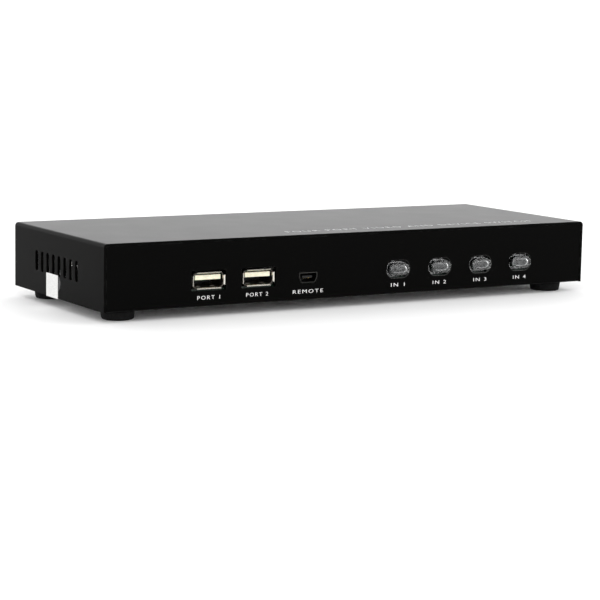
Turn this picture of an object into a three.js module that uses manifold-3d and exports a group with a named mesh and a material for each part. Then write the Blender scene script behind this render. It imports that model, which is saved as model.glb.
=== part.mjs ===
// A four-port KVM switch: one keyboard, mouse and display shared by four computers.
// Millimetres, +Z up. The origin is the middle of the object's footprint, on the surface it stands on.
// The face with the four push buttons looks along -Y, and the face with the computers' sockets along +Y.

import * as THREE from 'three';
import { mergeVertices } from 'three/addons/utils/BufferGeometryUtils.js';
import Module from 'manifold-3d';

const wasm = await Module();
wasm.setup();

// ---------------------------------------------------------------- driving dimensions

// Case
const caseWidth = 226.5;
const caseDepth = 84;
const caseHeight = 26;
const sheet = 1;              // thickness of the cover's sheet steel
const panelSheet = 1;         // thickness of the tray's sheet steel
const coverBend = 1.5;        // outside radius of the cover's two bends
const trayBend = 1.2;         // outside radius of the tray's two bends
const panelRecess = 0.2;      // how far the panels lie behind the cover's cut edges
const slip = 0.1;             // between the tray and the cover that slides over it
const contact = 0.05;         // between pieces that rest on each other
const smallestFillet = 0.1;   // inside the tray's bends, where its sheet is as thick as the bend
const cutOutRadius = 0.4;     // corners of the square cut-outs in the panels

// Feet
const footHeight = 4.2;
const footTopRadius = 6.75;
const footBottomRadius = 6.25;
const footInset = 11;         // from the case's sides and faces to a foot's centre

// Side vents
const ventCount = 8;
const ventPitch = 5.37;
const ventWidth = 2.6;
const ventHeight = 8.2;
const ventRise = 12.8;        // from the case's bottom to a vent's middle
const ventSetback = 43.2;     // from the case's front to the middle of the row

// Side screws, which hold the cover to the tray's two tabs
const sideScrewSetback = 42;
const sideScrewRise = 6;
const sideScrewHeadRadius = 2.75;
const sideScrewHeadDepth = 1.3;
const sideScrewRim = 0.15;    // the straight edge of a head, above its cone
const sideScrewRadius = 1.4;
const sideScrewLength = 4.5;
const screwClearance = 0.3;
const tabWidth = 12;
const tabHeight = 8;

// Circuit board and its posts
const boardThickness = 1.6;
const boardRise = 5;          // from the case's bottom to the board's underside
const boardGap = 0.8;         // from the board's edge to the inside of a panel
const boardSideGap = 1.2;     // from the board's edge to the inside of a tab
const notchGap = 0.8;         // from the board to the side screws and past the tabs' ends
const postRadius = 3;
const postBoreRadius = 1.75;
const postBoreDepth = 3.4;
const boardScrewRadius = 1.4;
const boardScrewHeadRadius = 2.8;
const boardScrewHeadHeight = 2;
const boardScrewReach = 2.8;  // how far a screw goes down below the board
const boardScrewInset = 6;    // from the board's side edges to its holes
const frontScrewSetback = 7;  // from the board's front edge to its front holes
const rearScrewSetback = 23;  // from the board's rear edge to its rear holes

// Square sockets for keyboard, mouse and other devices
const deviceInside = { width: 12.5, height: 5.2 };
const deviceWall = 0.35;
const deviceFlare = 0.65;     // how far the mouth stands out beyond the shell, all round
const deviceFlareDepth = 1.2;
const deviceDepth = 14;
const deviceCornerRadius = 0.6;
const deviceTongueThickness = 1.9;
const deviceTongueSideGap = 0.65;  // from the tongue to the shell at each side
const deviceTongueTopGap = 0.5;    // from the tongue to the shell above it
const deviceTongueSetback = 1.4;
const deviceBackDepth = 4;    // the block that closes the shell behind the tongue
const deviceGap = 0.3;        // between the mouth and the panel's cut-out
const tongueRoot = 1;         // how far any socket's tongue reaches into the block behind it

// Video sockets
const videoInside = { width: 14.2, height: 4.7 };
const videoWall = 0.35;
const videoFlare = 0.5;
const videoFlareDepth = 0.9;
const videoDepth = 11;
const videoTongueThickness = 0.9;
const videoTongueSideGap = 0.8;
const videoTongueSetback = 1;
const videoTongueRise = 0.5;  // from the socket's middle to its tongue's middle
const videoBackDepth = 3;
const videoChamfer = { across: 2.4, up: 1.9 };
const videoCornerRadius = 0.9;

// Sockets that take a computer's cable
const hostOutside = { width: 12, height: 11 };
const hostWall = 0.35;
const hostCornerRadius = 0.3;
const hostDepth = 16;
const hostOpening = { width: 8.7, height: 8 };
const hostOpeningChamfer = 1.8;
const hostTongue = { width: 5.7, height: 3.4 };
const hostTongueSetback = 0.8;
const hostPocketDepth = 9;

// Small socket for the wired remote control
const remoteOutside = { width: 8.4, height: 4.2 };
const remoteWall = 0.35;
const remoteTaper = 1.05;     // how far each lower corner is drawn in
const remoteDepth = 8;
const remoteTongue = { width: 4.6, height: 0.9 };
const remoteTongueSetback = 0.9;
const remoteTongueRise = 0.2;
const remoteBackDepth = 2;
const remoteGap = 0.25;

// Power socket
const jackBody = { width: 9, depth: 12, height: 11 };
const jackBoreRadius = 3.2;
const jackBoreDepth = 9.5;
const jackNoseRadius = 4.1;
const jackPinRadius = 1;
const jackPinSetback = 1.3;
const jackPinRoot = 1.9;      // how far the pin is set into the body behind the bore
const jackGap = 0.25;

// Push buttons
const buttonCount = 4;
const buttonPitch = 20.57;
const buttonFace = { width: 10.4, height: 6.2 };
const buttonHoleGap = { side: 0.6, top: 0.4 };  // between a cap and its hole in the panel
const buttonProud = 1.6;      // how far a cap stands out of the case at rest
const buttonTravel = 0.8;
const buttonLength = 6.2;
const buttonEdge = 0.5;       // bevel round a cap's face
const buttonStem = { width: 3, height: 3, length: 3.2 };
const switchBody = { width: 8, depth: 7, height: 6.4 };
const stemClearance = 0.25;
const switchGap = 0.4;        // between a fully pressed cap and its switch

// Between the circuit board and what stands over it
const frontDeviceClearance = 0.45;
const rearDeviceClearance = 0.95;
const videoClearance = 0.8;
const hostClearance = 0.25;
const remoteClearance = 0.15;
const buttonClearance = 0.4;
const jackHeight = 6.8;       // from the board to the middle of the power socket's bore

// Places along the front, from the middle of the case, positive to the right as seen from the front
const frontDevicePlaces = [-68.75, -46.85];
const remotePlace = -24.25;
const firstButtonPlace = 18.35;

// Places along the rear, from the middle of the case, positive to the right as seen from the front
const jackPlace = 105.2;
const rearDevicePlaces = [90.05, 72.3];
const videoOutPlace = 52.65;
const hostCount = 4;
const hostPitch = 38.1;
const lastVideoPlace = 31.2;  // the video socket of the fourth computer
const hostToVideo = 19.45;    // from a computer's video socket to its cable socket

// How far the sockets' mouths stand out of the panels
const socketProud = 0.3;

// Blank label over the left-hand screw, folded under the case
const labelThickness = 0.12;
const labelWidth = 11;
const labelRise = 9.2;
const labelUnder = 5;
const labelSetback = 46.8;    // from the case's front to the label's middle

// Smoothness of arcs: steps in a quarter turn of an outline's corner, and in a full turn of a round piece
const smallCornerSteps = 2;
const cornerSteps = 4;
const roundSteps = 16;

// For cutting tools: how far they run past the face that they cut, and what keeps two faces from coinciding
const past = 1;
const hair = 0.001;

// ---------------------------------------------------------------- derived positions

const proudFront = buttonProud;
const proudRear = Math.max(socketProud - panelRecess, 0);
const caseShift = (proudFront - proudRear) / 2;
const caseFront = caseShift - caseDepth / 2;
const caseRear = caseShift + caseDepth / 2;
const caseBottom = footHeight;
const caseTop = caseBottom + caseHeight;
const halfWidth = caseWidth / 2;

const frontFace = caseFront + panelRecess;
const rearFace = caseRear - panelRecess;
const trayHalfWidth = halfWidth - sheet - slip;
const trayTop = caseTop - sheet - slip;

const boardBottom = caseBottom + boardRise;
const boardTop = boardBottom + boardThickness;
const boardHalfWidth = trayHalfWidth - panelSheet - boardSideGap;
const boardFront = frontFace + panelSheet + boardGap;
const boardRear = rearFace - panelSheet - boardGap;

const sideScrewY = caseFront + sideScrewSetback;
const sideScrewZ = caseBottom + sideScrewRise;
const boardScrewX = boardHalfWidth - boardScrewInset;
const boardScrewPlaces = [
  { name: 'front_left', x: -boardScrewX, y: boardFront + frontScrewSetback },
  { name: 'front_right', x: boardScrewX, y: boardFront + frontScrewSetback },
  { name: 'rear_left', x: -boardScrewX, y: boardRear - rearScrewSetback },
  { name: 'rear_right', x: boardScrewX, y: boardRear - rearScrewSetback },
];

const deviceOutside = grown(deviceInside, deviceWall);
const deviceMouth = grown(deviceOutside, deviceFlare);
const videoOutside = grown(videoInside, videoWall);
const videoMouth = grown(videoOutside, videoFlare);
const buttonHole = {
  width: buttonFace.width + 2 * buttonHoleGap.side,
  height: buttonFace.height + 2 * buttonHoleGap.top,
};

// Heights of the sockets' and buttons' middles above the circuit board
const frontDeviceHeight = deviceOutside.height / 2 + frontDeviceClearance;
const rearDeviceHeight = deviceOutside.height / 2 + rearDeviceClearance;
const videoHeight = videoOutside.height / 2 + videoClearance;
const hostHeight = hostOutside.height / 2 + hostClearance;
const remoteHeight = remoteOutside.height / 2 + remoteClearance;
const buttonHeight = buttonFace.height / 2 + buttonClearance;

const switchFront = -buttonProud - panelRecess + buttonLength + buttonTravel + switchGap;

// ---------------------------------------------------------------- materials

function material(color, roughness, metalness, opacity = 1) {
  return new THREE.MeshStandardMaterial({
    color, roughness, metalness, opacity, transparent: opacity < 1,
  });
}

const blackCoat = () => material(0x141414, 0.42, 0.2);
const blackRubber = () => material(0x0c0c0c, 0.85, 0);
const nickel = () => material(0xb9b6ad, 0.3, 0.95);
const brightSteel = () => material(0xa8a8a8, 0.35, 0.9);
const blackSteel = () => material(0x1b1b1b, 0.4, 0.7);
const ivoryPlastic = () => material(0xe6e2d6, 0.5, 0);
const blackPlastic = () => material(0x111111, 0.5, 0);
const clearPlastic = () => material(0xdfe3e4, 0.12, 0, 0.45);
const boardGreen = () => material(0x1d5b36, 0.45, 0);
const chipBlack = () => material(0x191919, 0.55, 0);
const whitePaper = () => material(0xe9e9e9, 0.7, 0);

// ---------------------------------------------------------------- shape helpers

function grown(size, margin) {
  return { width: size.width + 2 * margin, height: size.height + 2 * margin };
}

function roundedRectangle(width, height, radius) {
  const r = Math.min(radius, width / 2, height / 2);
  const x = width / 2;
  const y = height / 2;
  const shape = new THREE.Shape();
  shape.absarc(x - r, y - r, r, 0, Math.PI / 2);
  shape.absarc(r - x, y - r, r, Math.PI / 2, Math.PI);
  shape.absarc(r - x, r - y, r, Math.PI, 1.5 * Math.PI);
  shape.absarc(x - r, r - y, r, 1.5 * Math.PI, 2 * Math.PI);
  return shape;
}

function obround(size) {
  return roundedRectangle(size.width, size.height, size.height / 2);
}

function polygon(points) {
  return new THREE.Shape(points.map(([x, y]) => new THREE.Vector2(x, y)));
}

// Upper corners rounded, lower corners cut off at a slant.
function videoOutline(size) {
  const x = size.width / 2;
  const y = size.height / 2;
  const shape = new THREE.Shape();
  shape.moveTo(x - videoChamfer.across, -y);
  shape.lineTo(x, videoChamfer.up - y);
  shape.absarc(x - videoCornerRadius, y - videoCornerRadius, videoCornerRadius, 0, Math.PI / 2);
  shape.absarc(videoCornerRadius - x, y - videoCornerRadius, videoCornerRadius, Math.PI / 2, Math.PI);
  shape.lineTo(-x, videoChamfer.up - y);
  shape.lineTo(videoChamfer.across - x, -y);
  return shape;
}

// Upper corners cut off at 45 degrees.
function hostOutline(size, chamfer) {
  const x = size.width / 2;
  const y = size.height / 2;
  const shoulder = y - chamfer;
  return polygon([[-x, -y], [x, -y], [x, shoulder], [x - chamfer, y], [chamfer - x, y], [-x, shoulder]]);
}

// Wide at the top and drawn in towards the bottom.
function remoteOutline(size) {
  const x = size.width / 2;
  const y = size.height / 2;
  return polygon([[remoteTaper - x, -y], [x - remoteTaper, -y], [x, 0], [x, y], [-x, y], [-x, 0]]);
}

// Moves a geometry's drawing plane so that its X and Y lie along two directions of the object.
function turned(geometry, alongX, alongY) {
  const depth = alongX.clone().cross(alongY);
  geometry.applyMatrix4(new THREE.Matrix4().makeBasis(alongX, alongY, depth));
  return geometry;
}

const X = new THREE.Vector3(1, 0, 0);
const Y = new THREE.Vector3(0, 1, 0);
const Z = new THREE.Vector3(0, 0, 1);

// three.js gives each arc of a shape twice curveSegments steps.
function extruded(shape, depth, steps) {
  return new THREE.ExtrudeGeometry(shape, { depth, bevelEnabled: false, curveSegments: steps / 2 });
}

// An outline drawn in X and Z, standing between two values of Y.
function alongDepth(shape, fromY, toY, steps = smallCornerSteps) {
  return turned(extruded(shape, toY - fromY, steps), X, Z).translate(0, toY, 0);
}

// An outline drawn in Y and Z, standing between two values of X.
function alongWidth(shape, fromX, toX, steps = cornerSteps) {
  return turned(extruded(shape, toX - fromX, steps), Y, Z).translate(fromX, 0, 0);
}

// An outline drawn in X and Y, standing between two values of Z.
function alongHeight(shape, fromZ, toZ, steps = roundSteps) {
  return extruded(shape, toZ - fromZ, steps).translate(0, 0, fromZ);
}

// An outline along Y that is wider and taller by a flare at its front end, y = 0.
function flaredAlongDepth(shape, size, flare, depth) {
  const geometry = alongDepth(shape, 0, depth);
  const scaleX = (size.width + 2 * flare) / size.width;
  const scaleZ = (size.height + 2 * flare) / size.height;
  const corners = geometry.attributes.position;
  for (let i = 0; i < corners.count; i += 1) {
    if (corners.getY(i) < depth / 2) {
      corners.setX(i, corners.getX(i) * scaleX);
      corners.setZ(i, corners.getZ(i) * scaleZ);
    }
  }
  return geometry;
}

function block(fromX, toX, fromY, toY, fromZ, toZ) {
  const geometry = new THREE.BoxGeometry(toX - fromX, toY - fromY, toZ - fromZ);
  return geometry.translate((fromX + toX) / 2, (fromY + toY) / 2, (fromZ + toZ) / 2);
}

// A block with its middle at x and z, between two values of Y.
function bar(size, x, z, fromY, toY) {
  return block(x - size.width / 2, x + size.width / 2, fromY, toY, z - size.height / 2, z + size.height / 2);
}

// Turns a profile of [radius, height] pairs, listed from the bottom up, about +Z.
function lathed(profile) {
  const points = profile.map(([radius, height]) => new THREE.Vector2(radius, height));
  return new THREE.LatheGeometry(points, roundSteps).rotateX(Math.PI / 2);
}

function cylinder(radius, fromZ, toZ) {
  return lathed([[0, fromZ], [radius, fromZ], [radius, toZ], [0, toZ]]);
}

function solid(geometry) {
  const bare = geometry.index ? geometry.toNonIndexed() : geometry.clone();
  bare.deleteAttribute('normal');
  bare.deleteAttribute('uv');
  const welded = mergeVertices(bare, 1e-5);
  const vertProperties = new Float32Array(welded.attributes.position.array);
  const triVerts = new Uint32Array(welded.index.array);
  return new wasm.Manifold(new wasm.Mesh({ numProp: 3, vertProperties, triVerts }));
}

function geometryOf(body) {
  const { vertProperties, triVerts } = body.getMesh();
  const geometry = new THREE.BufferGeometry();
  geometry.setAttribute('position', new THREE.BufferAttribute(vertProperties, 3));
  geometry.setIndex(new THREE.BufferAttribute(triVerts, 1));
  return geometry;
}

function joined(...geometries) {
  return geometryOf(geometries.map(solid).reduce((whole, next) => whole.add(next)));
}

function cut(geometry, ...tools) {
  return geometryOf(tools.map(solid).reduce((whole, tool) => whole.subtract(tool), solid(geometry)));
}

function common(first, second) {
  return geometryOf(solid(first).intersect(solid(second)));
}

const model = new THREE.Group();

function addPiece(name, geometry, look, parent = model) {
  const mesh = new THREE.Mesh(geometry, look);
  mesh.name = name;
  parent.add(mesh);
  return mesh;
}

// A group whose front, y = 0, is the mouth of a socket on the front or the rear panel.
function socketGroup(x, heightAboveBoard, onRear, proud = socketProud) {
  const group = new THREE.Group();
  group.position.set(x, onRear ? rearFace + proud : frontFace - proud, boardTop + heightAboveBoard);
  group.rotation.z = onRear ? Math.PI : 0;
  model.add(group);
  return group;
}

// ---------------------------------------------------------------- places of the repeated sockets

const buttonPlaces = [];
for (let i = 0; i < buttonCount; i += 1) {
  buttonPlaces.push(firstButtonPlace + i * buttonPitch);
}

const videoPlaces = [];
const hostPlaces = [];
for (let i = 0; i < hostCount; i += 1) {
  videoPlaces.push(lastVideoPlace - (hostCount - 1 - i) * hostPitch);
  hostPlaces.push(videoPlaces[i] - hostToVideo);
}

// ---------------------------------------------------------------- case

// The hole that a countersunk side screw needs, with its axis on +Z and its top at z = 0.
function countersink(depth) {
  const mouth = sideScrewHeadRadius + screwClearance;
  const neck = sideScrewRadius + screwClearance;
  return lathed([[0, -depth], [neck, -depth], [neck, -sideScrewHeadDepth], [mouth, hair], [0, hair]]);
}

// The countersink as it stands on one side of the case.
function countersinkOnSide(side, depth) {
  return countersink(depth).rotateY((side * Math.PI) / 2).translate(side * halfWidth, sideScrewY, sideScrewZ);
}

function coverOutline(inset, bottom) {
  const half = halfWidth - inset;
  const top = caseTop - inset;
  const radius = coverBend - inset;
  const shape = new THREE.Shape();
  shape.moveTo(-half, bottom);
  shape.lineTo(half, bottom);
  shape.absarc(half - radius, top - radius, radius, 0, Math.PI / 2);
  shape.absarc(radius - half, top - radius, radius, Math.PI / 2, Math.PI);
  return shape;
}

function vent(side, index) {
  const y = caseFront + ventSetback + (index - (ventCount - 1) / 2) * ventPitch;
  const slot = roundedRectangle(ventWidth, ventHeight, ventWidth / 2);
  const reach = sheet + slip;
  const middle = side * (halfWidth - sheet / 2);
  return alongWidth(slot, middle - reach, middle + reach).translate(0, y, caseBottom + ventRise);
}

function makeCover() {
  const inner = coverOutline(sheet, caseBottom - sheet);
  const outside = alongDepth(coverOutline(0, caseBottom), caseFront, caseRear, cornerSteps);
  const inside = alongDepth(inner, caseFront - sheet, caseRear + sheet, cornerSteps);
  const tools = [inside];
  for (const side of [-1, 1]) {
    tools.push(countersinkOnSide(side, sideScrewLength));
    for (let i = 0; i < ventCount; i += 1) {
      tools.push(vent(side, i));
    }
  }
  addPiece('top_cover', cut(outside, ...tools), blackCoat());
}

// The tray seen from the side: a floor with the two panels bent up from it.
function trayProfile() {
  const outer = trayBend;
  const inner = Math.max(trayBend - panelSheet, smallestFillet);
  const insideFront = frontFace + panelSheet;
  const insideRear = rearFace - panelSheet;
  const floor = caseBottom + panelSheet;
  const shape = new THREE.Shape();
  shape.moveTo(frontFace, trayTop);
  shape.absarc(frontFace + outer, caseBottom + outer, outer, Math.PI, 1.5 * Math.PI);
  shape.absarc(rearFace - outer, caseBottom + outer, outer, 1.5 * Math.PI, 2 * Math.PI);
  shape.lineTo(rearFace, trayTop);
  shape.lineTo(insideRear, trayTop);
  shape.absarc(insideRear - inner, floor + inner, inner, 0, -Math.PI / 2, true);
  shape.absarc(insideFront + inner, floor + inner, inner, -Math.PI / 2, -Math.PI, true);
  shape.lineTo(insideFront, trayTop);
  return shape;
}

function panelHole(shape, x, z, onRear, steps = smallCornerSteps) {
  const face = onRear ? rearFace - panelSheet / 2 : frontFace + panelSheet / 2;
  return alongDepth(shape, face - panelSheet, face + panelSheet, steps).translate(x, 0, z);
}

function makeTray() {
  const bent = alongWidth(trayProfile(), -trayHalfWidth, trayHalfWidth);
  const opening = coverOutline(sheet + slip, caseBottom - sheet);
  const envelope = alongDepth(opening, caseFront, caseRear, cornerSteps);
  const rounded = common(bent, envelope);

  const additions = [];
  for (const side of [-1, 1]) {
    const outer = side * trayHalfWidth;
    const inner = side * (trayHalfWidth - panelSheet);
    additions.push(block(Math.min(outer, inner), Math.max(outer, inner),
      sideScrewY - tabWidth / 2, sideScrewY + tabWidth / 2, caseBottom, caseBottom + tabHeight + panelSheet));
  }
  for (const place of boardScrewPlaces) {
    additions.push(cylinder(postRadius, caseBottom, boardBottom - contact).translate(place.x, place.y, 0));
  }

  const tools = [];
  const deviceSpace = grown(deviceMouth, deviceGap);
  const deviceHole = roundedRectangle(deviceSpace.width, deviceSpace.height, cutOutRadius);
  for (const x of frontDevicePlaces) {
    tools.push(panelHole(deviceHole, x, boardTop + frontDeviceHeight, false));
  }
  for (const x of rearDevicePlaces) {
    tools.push(panelHole(deviceHole, x, boardTop + rearDeviceHeight, true));
  }
  const remoteHole = remoteOutline(grown(remoteOutside, remoteGap));
  tools.push(panelHole(remoteHole, remotePlace, boardTop + remoteHeight, false));
  for (const x of buttonPlaces) {
    tools.push(panelHole(obround(buttonHole), x, boardTop + buttonHeight, false, cornerSteps));
  }
  const videoHole = videoOutline(grown(videoMouth, deviceGap));
  for (const x of [videoOutPlace, ...videoPlaces]) {
    tools.push(panelHole(videoHole, x, boardTop + videoHeight, true));
  }
  const hostSpace = grown(hostOutside, deviceGap);
  const hostHole = roundedRectangle(hostSpace.width, hostSpace.height, cutOutRadius);
  for (const x of hostPlaces) {
    tools.push(panelHole(hostHole, x, boardTop + hostHeight, true));
  }
  const jackHoleSize = 2 * (jackNoseRadius + jackGap);
  const jackHole = obround({ width: jackHoleSize, height: jackHoleSize });
  tools.push(panelHole(jackHole, jackPlace, boardTop + jackHeight, true, cornerSteps));
  for (const side of [-1, 1]) {
    tools.push(countersinkOnSide(side, sideScrewLength));
  }
  for (const place of boardScrewPlaces) {
    const bore = cylinder(postBoreRadius, boardBottom - postBoreDepth, boardBottom + contact);
    tools.push(bore.translate(place.x, place.y, 0));
  }
  addPiece('base_tray', cut(joined(rounded, ...additions), ...tools), blackCoat());
}

function makeFeet() {
  const edge = 0.5;
  const profile = [
    [0, 0], [footBottomRadius - edge, 0], [footBottomRadius, edge],
    [footTopRadius, footHeight - contact], [0, footHeight - contact],
  ];
  for (const [sideName, side] of [['left', -1], ['right', 1]]) {
    for (const [endName, y] of [['front', caseFront + footInset], ['rear', caseRear - footInset]]) {
      const foot = addPiece(`foot_${endName}_${sideName}`, lathed(profile), blackRubber());
      foot.position.set(side * (halfWidth - footInset), y, 0);
    }
  }
}

function makeSideScrews() {
  const profile = [
    [0, -sideScrewLength], [sideScrewRadius, -sideScrewLength], [sideScrewRadius, -sideScrewHeadDepth],
    [sideScrewHeadRadius, -sideScrewRim], [sideScrewHeadRadius, 0], [0, 0],
  ];
  for (const [name, side] of [['left', -1], ['right', 1]]) {
    const screw = addPiece(`side_screw_${name}`, lathed(profile).rotateY((side * Math.PI) / 2), blackSteel());
    screw.position.set(side * halfWidth, sideScrewY, sideScrewZ);
  }
}

function makeLabel() {
  const outerX = -halfWidth - contact - labelThickness;
  const innerX = -halfWidth - contact;
  const outerZ = caseBottom - contact - labelThickness;
  const innerZ = caseBottom - contact;
  const fold = polygon([
    [outerX, outerZ], [innerX + labelUnder, outerZ], [innerX + labelUnder, innerZ],
    [innerX, innerZ], [innerX, caseBottom + labelRise], [outerX, caseBottom + labelRise],
  ]);
  const middle = caseFront + labelSetback;
  addPiece('side_label', alongDepth(fold, middle - labelWidth / 2, middle + labelWidth / 2), whitePaper());
}

// ---------------------------------------------------------------- circuit board

function makeBoard() {
  const notchX = halfWidth - sideScrewLength - notchGap;
  const notchFront = sideScrewY - tabWidth / 2 - notchGap;
  const notchRear = sideScrewY + tabWidth / 2 + notchGap;
  const rightEdge = [
    [boardHalfWidth, boardFront], [boardHalfWidth, notchFront], [notchX, notchFront],
    [notchX, notchRear], [boardHalfWidth, notchRear], [boardHalfWidth, boardRear],
  ];
  const leftEdge = rightEdge.map(([x, y]) => [-x, y]).reverse();
  const outline = polygon([...rightEdge, ...leftEdge]);
  for (const place of boardScrewPlaces) {
    const hole = new THREE.Path();
    hole.absarc(place.x, place.y, boardScrewRadius + screwClearance, 0, 2 * Math.PI, true);
    outline.holes.push(hole);
  }
  addPiece('main_board', alongHeight(outline, boardBottom, boardTop), boardGreen());
}

function makeBoardScrews() {
  const seat = contact;
  const edge = 0.5;
  const profile = [
    [0, -boardThickness - boardScrewReach], [boardScrewRadius, -boardThickness - boardScrewReach],
    [boardScrewRadius, seat], [boardScrewHeadRadius, seat],
    [boardScrewHeadRadius, boardScrewHeadHeight - edge],
    [boardScrewHeadRadius - edge, boardScrewHeadHeight], [0, boardScrewHeadHeight],
  ];
  for (const place of boardScrewPlaces) {
    const screw = addPiece(`board_screw_${place.name}`, lathed(profile), brightSteel());
    screw.position.set(place.x, place.y, boardTop);
  }
}

function makeComponents() {
  const floor = boardTop + contact;
  const chips = [
    { name: 'video_switch_chip', x: 8, y: 6, width: 14, depth: 14, height: 1.4 },
    { name: 'device_hub_chip', x: 62, y: 2, width: 9, depth: 9, height: 1.4 },
    { name: 'control_chip', x: 40, y: -14, width: 10, depth: 6, height: 1.75 },
    { name: 'crystal', x: 52, y: -13, width: 10, depth: 4, height: 3.5 },
    { name: 'power_coil', x: 84, y: -4, width: 10, depth: 10, height: 4.5 },
  ];
  for (const chip of chips) {
    const body = block(-chip.width / 2, chip.width / 2, -chip.depth / 2, chip.depth / 2, 0, chip.height);
    const look = chip.name === 'crystal' ? brightSteel() : chipBlack();
    addPiece(chip.name, body, look).position.set(chip.x, chip.y, floor);
  }
  const edge = 0.4;
  const can = { radius: 4, height: 9 };
  const canPlaces = [{ x: 96, y: 10 }, { x: 96, y: -18 }];
  const profile = [
    [0, 0], [can.radius - edge, 0], [can.radius, edge],
    [can.radius, can.height - edge], [can.radius - edge, can.height], [0, can.height],
  ];
  canPlaces.forEach((place, i) => {
    addPiece(`capacitor_${i + 1}`, lathed(profile), brightSteel()).position.set(place.x, place.y, floor);
  });
}

// ---------------------------------------------------------------- sockets

// A tube of the given outline with a flared mouth, open at both ends.
function flaredShell(outline, inside, outside, flare, flareDepth, depth) {
  const tube = joined(
    alongDepth(outline(outside), 0, depth),
    flaredAlongDepth(outline(outside), outside, flare, flareDepth),
  );
  return cut(
    tube,
    alongDepth(outline(inside), -past, depth + past),
    flaredAlongDepth(outline(inside), inside, flare, flareDepth).translate(0, -hair, 0),
  );
}

function makeDeviceSocket(name, x, height, onRear) {
  const group = socketGroup(x, height, onRear);
  const outline = (size) => roundedRectangle(size.width, size.height, deviceCornerRadius);
  const shell = flaredShell(outline, deviceInside, deviceOutside, deviceFlare, deviceFlareDepth, deviceDepth);
  addPiece(`${name}_shell`, shell, nickel(), group);

  const plug = grown(deviceInside, -contact);
  const backFront = deviceDepth - deviceBackDepth;
  const back = alongDepth(outline(plug), backFront, deviceDepth);
  const tongueSize = { width: deviceInside.width - 2 * deviceTongueSideGap, height: deviceTongueThickness };
  const rise = deviceInside.height / 2 - deviceTongueTopGap - deviceTongueThickness / 2;
  const tongue = bar(tongueSize, 0, rise, deviceTongueSetback, backFront + tongueRoot);
  addPiece(`${name}_tongue`, joined(back, tongue), ivoryPlastic(), group);
}

function makeVideoSocket(name, x) {
  const group = socketGroup(x, videoHeight, true);
  const shell = flaredShell(videoOutline, videoInside, videoOutside, videoFlare, videoFlareDepth, videoDepth);
  addPiece(`${name}_shell`, shell, nickel(), group);

  const plug = grown(videoInside, -contact);
  const backFront = videoDepth - videoBackDepth;
  const back = alongDepth(videoOutline(plug), backFront, videoDepth);
  const tongueSize = { width: videoInside.width - 2 * videoTongueSideGap, height: videoTongueThickness };
  const tongue = bar(tongueSize, 0, videoTongueRise, videoTongueSetback, backFront + tongueRoot);
  addPiece(`${name}_tongue`, joined(back, tongue), blackPlastic(), group);
}

// A folded metal box with a chamfered opening in its face, and a plastic core inside it.
function makeHostSocket(name, x) {
  const group = socketGroup(x, hostHeight, true);
  const outline = roundedRectangle(hostOutside.width, hostOutside.height, hostCornerRadius);
  const inside = grown(hostOutside, -hostWall);
  const opening = hostOutline(hostOpening, hostOpeningChamfer);
  const shell = cut(
    alongDepth(outline, 0, hostDepth),
    bar(inside, 0, 0, hostWall, hostDepth + past),
    alongDepth(opening, -past, hostWall + past),
  );
  addPiece(`${name}_shell`, shell, nickel(), group);

  const core = bar(grown(inside, -contact), 0, 0, hostWall + contact, hostDepth);
  const pocket = cut(core, alongDepth(opening, 0, hostPocketDepth));
  const tongue = bar(hostTongue, 0, 0, hostTongueSetback, hostPocketDepth + tongueRoot);
  addPiece(`${name}_core`, joined(pocket, tongue), ivoryPlastic(), group);
}

function makeRemoteSocket() {
  const group = socketGroup(remotePlace, remoteHeight, false, 0);
  const inside = grown(remoteOutside, -remoteWall);
  const shell = cut(
    alongDepth(remoteOutline(remoteOutside), 0, remoteDepth),
    alongDepth(remoteOutline(inside), -past, remoteDepth + past),
  );
  addPiece('remote_socket_shell', shell, nickel(), group);

  const backFront = remoteDepth - remoteBackDepth;
  const back = alongDepth(remoteOutline(grown(inside, -contact)), backFront, remoteDepth);
  const tongue = bar(remoteTongue, 0, remoteTongueRise, remoteTongueSetback, backFront + tongueRoot);
  addPiece('remote_socket_tongue', joined(back, tongue), blackPlastic(), group);
}

// A block on the board with a round nose that reaches through the panel, and the contact pin in its bore.
function makePowerJack() {
  const group = socketGroup(jackPlace, jackHeight, true, 0);
  const noseDepth = panelSheet + boardGap;
  const toDepth = (geometry) => geometry.rotateX(Math.PI / 2);
  const nose = toDepth(cylinder(jackNoseRadius, -noseDepth - past, 0));
  const bottom = contact - jackHeight;
  const body = block(-jackBody.width / 2, jackBody.width / 2, noseDepth, noseDepth + jackBody.depth,
    bottom, bottom + jackBody.height);
  const bore = toDepth(cylinder(jackBoreRadius, -jackBoreDepth, past));
  const pinEnd = -jackBoreDepth - jackPinRoot;
  const pinSocket = toDepth(cylinder(jackPinRadius + contact, pinEnd - contact, past - jackBoreDepth));
  addPiece('power_jack_body', cut(joined(nose, body), bore, pinSocket), blackPlastic(), group);

  const tip = 0.4;
  const pin = lathed([
    [0, pinEnd], [jackPinRadius, pinEnd], [jackPinRadius, -jackPinSetback - tip],
    [jackPinRadius - tip, -jackPinSetback], [0, -jackPinSetback],
  ]);
  addPiece('power_jack_pin', toDepth(pin), brightSteel(), group);
}

// ---------------------------------------------------------------- buttons

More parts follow.
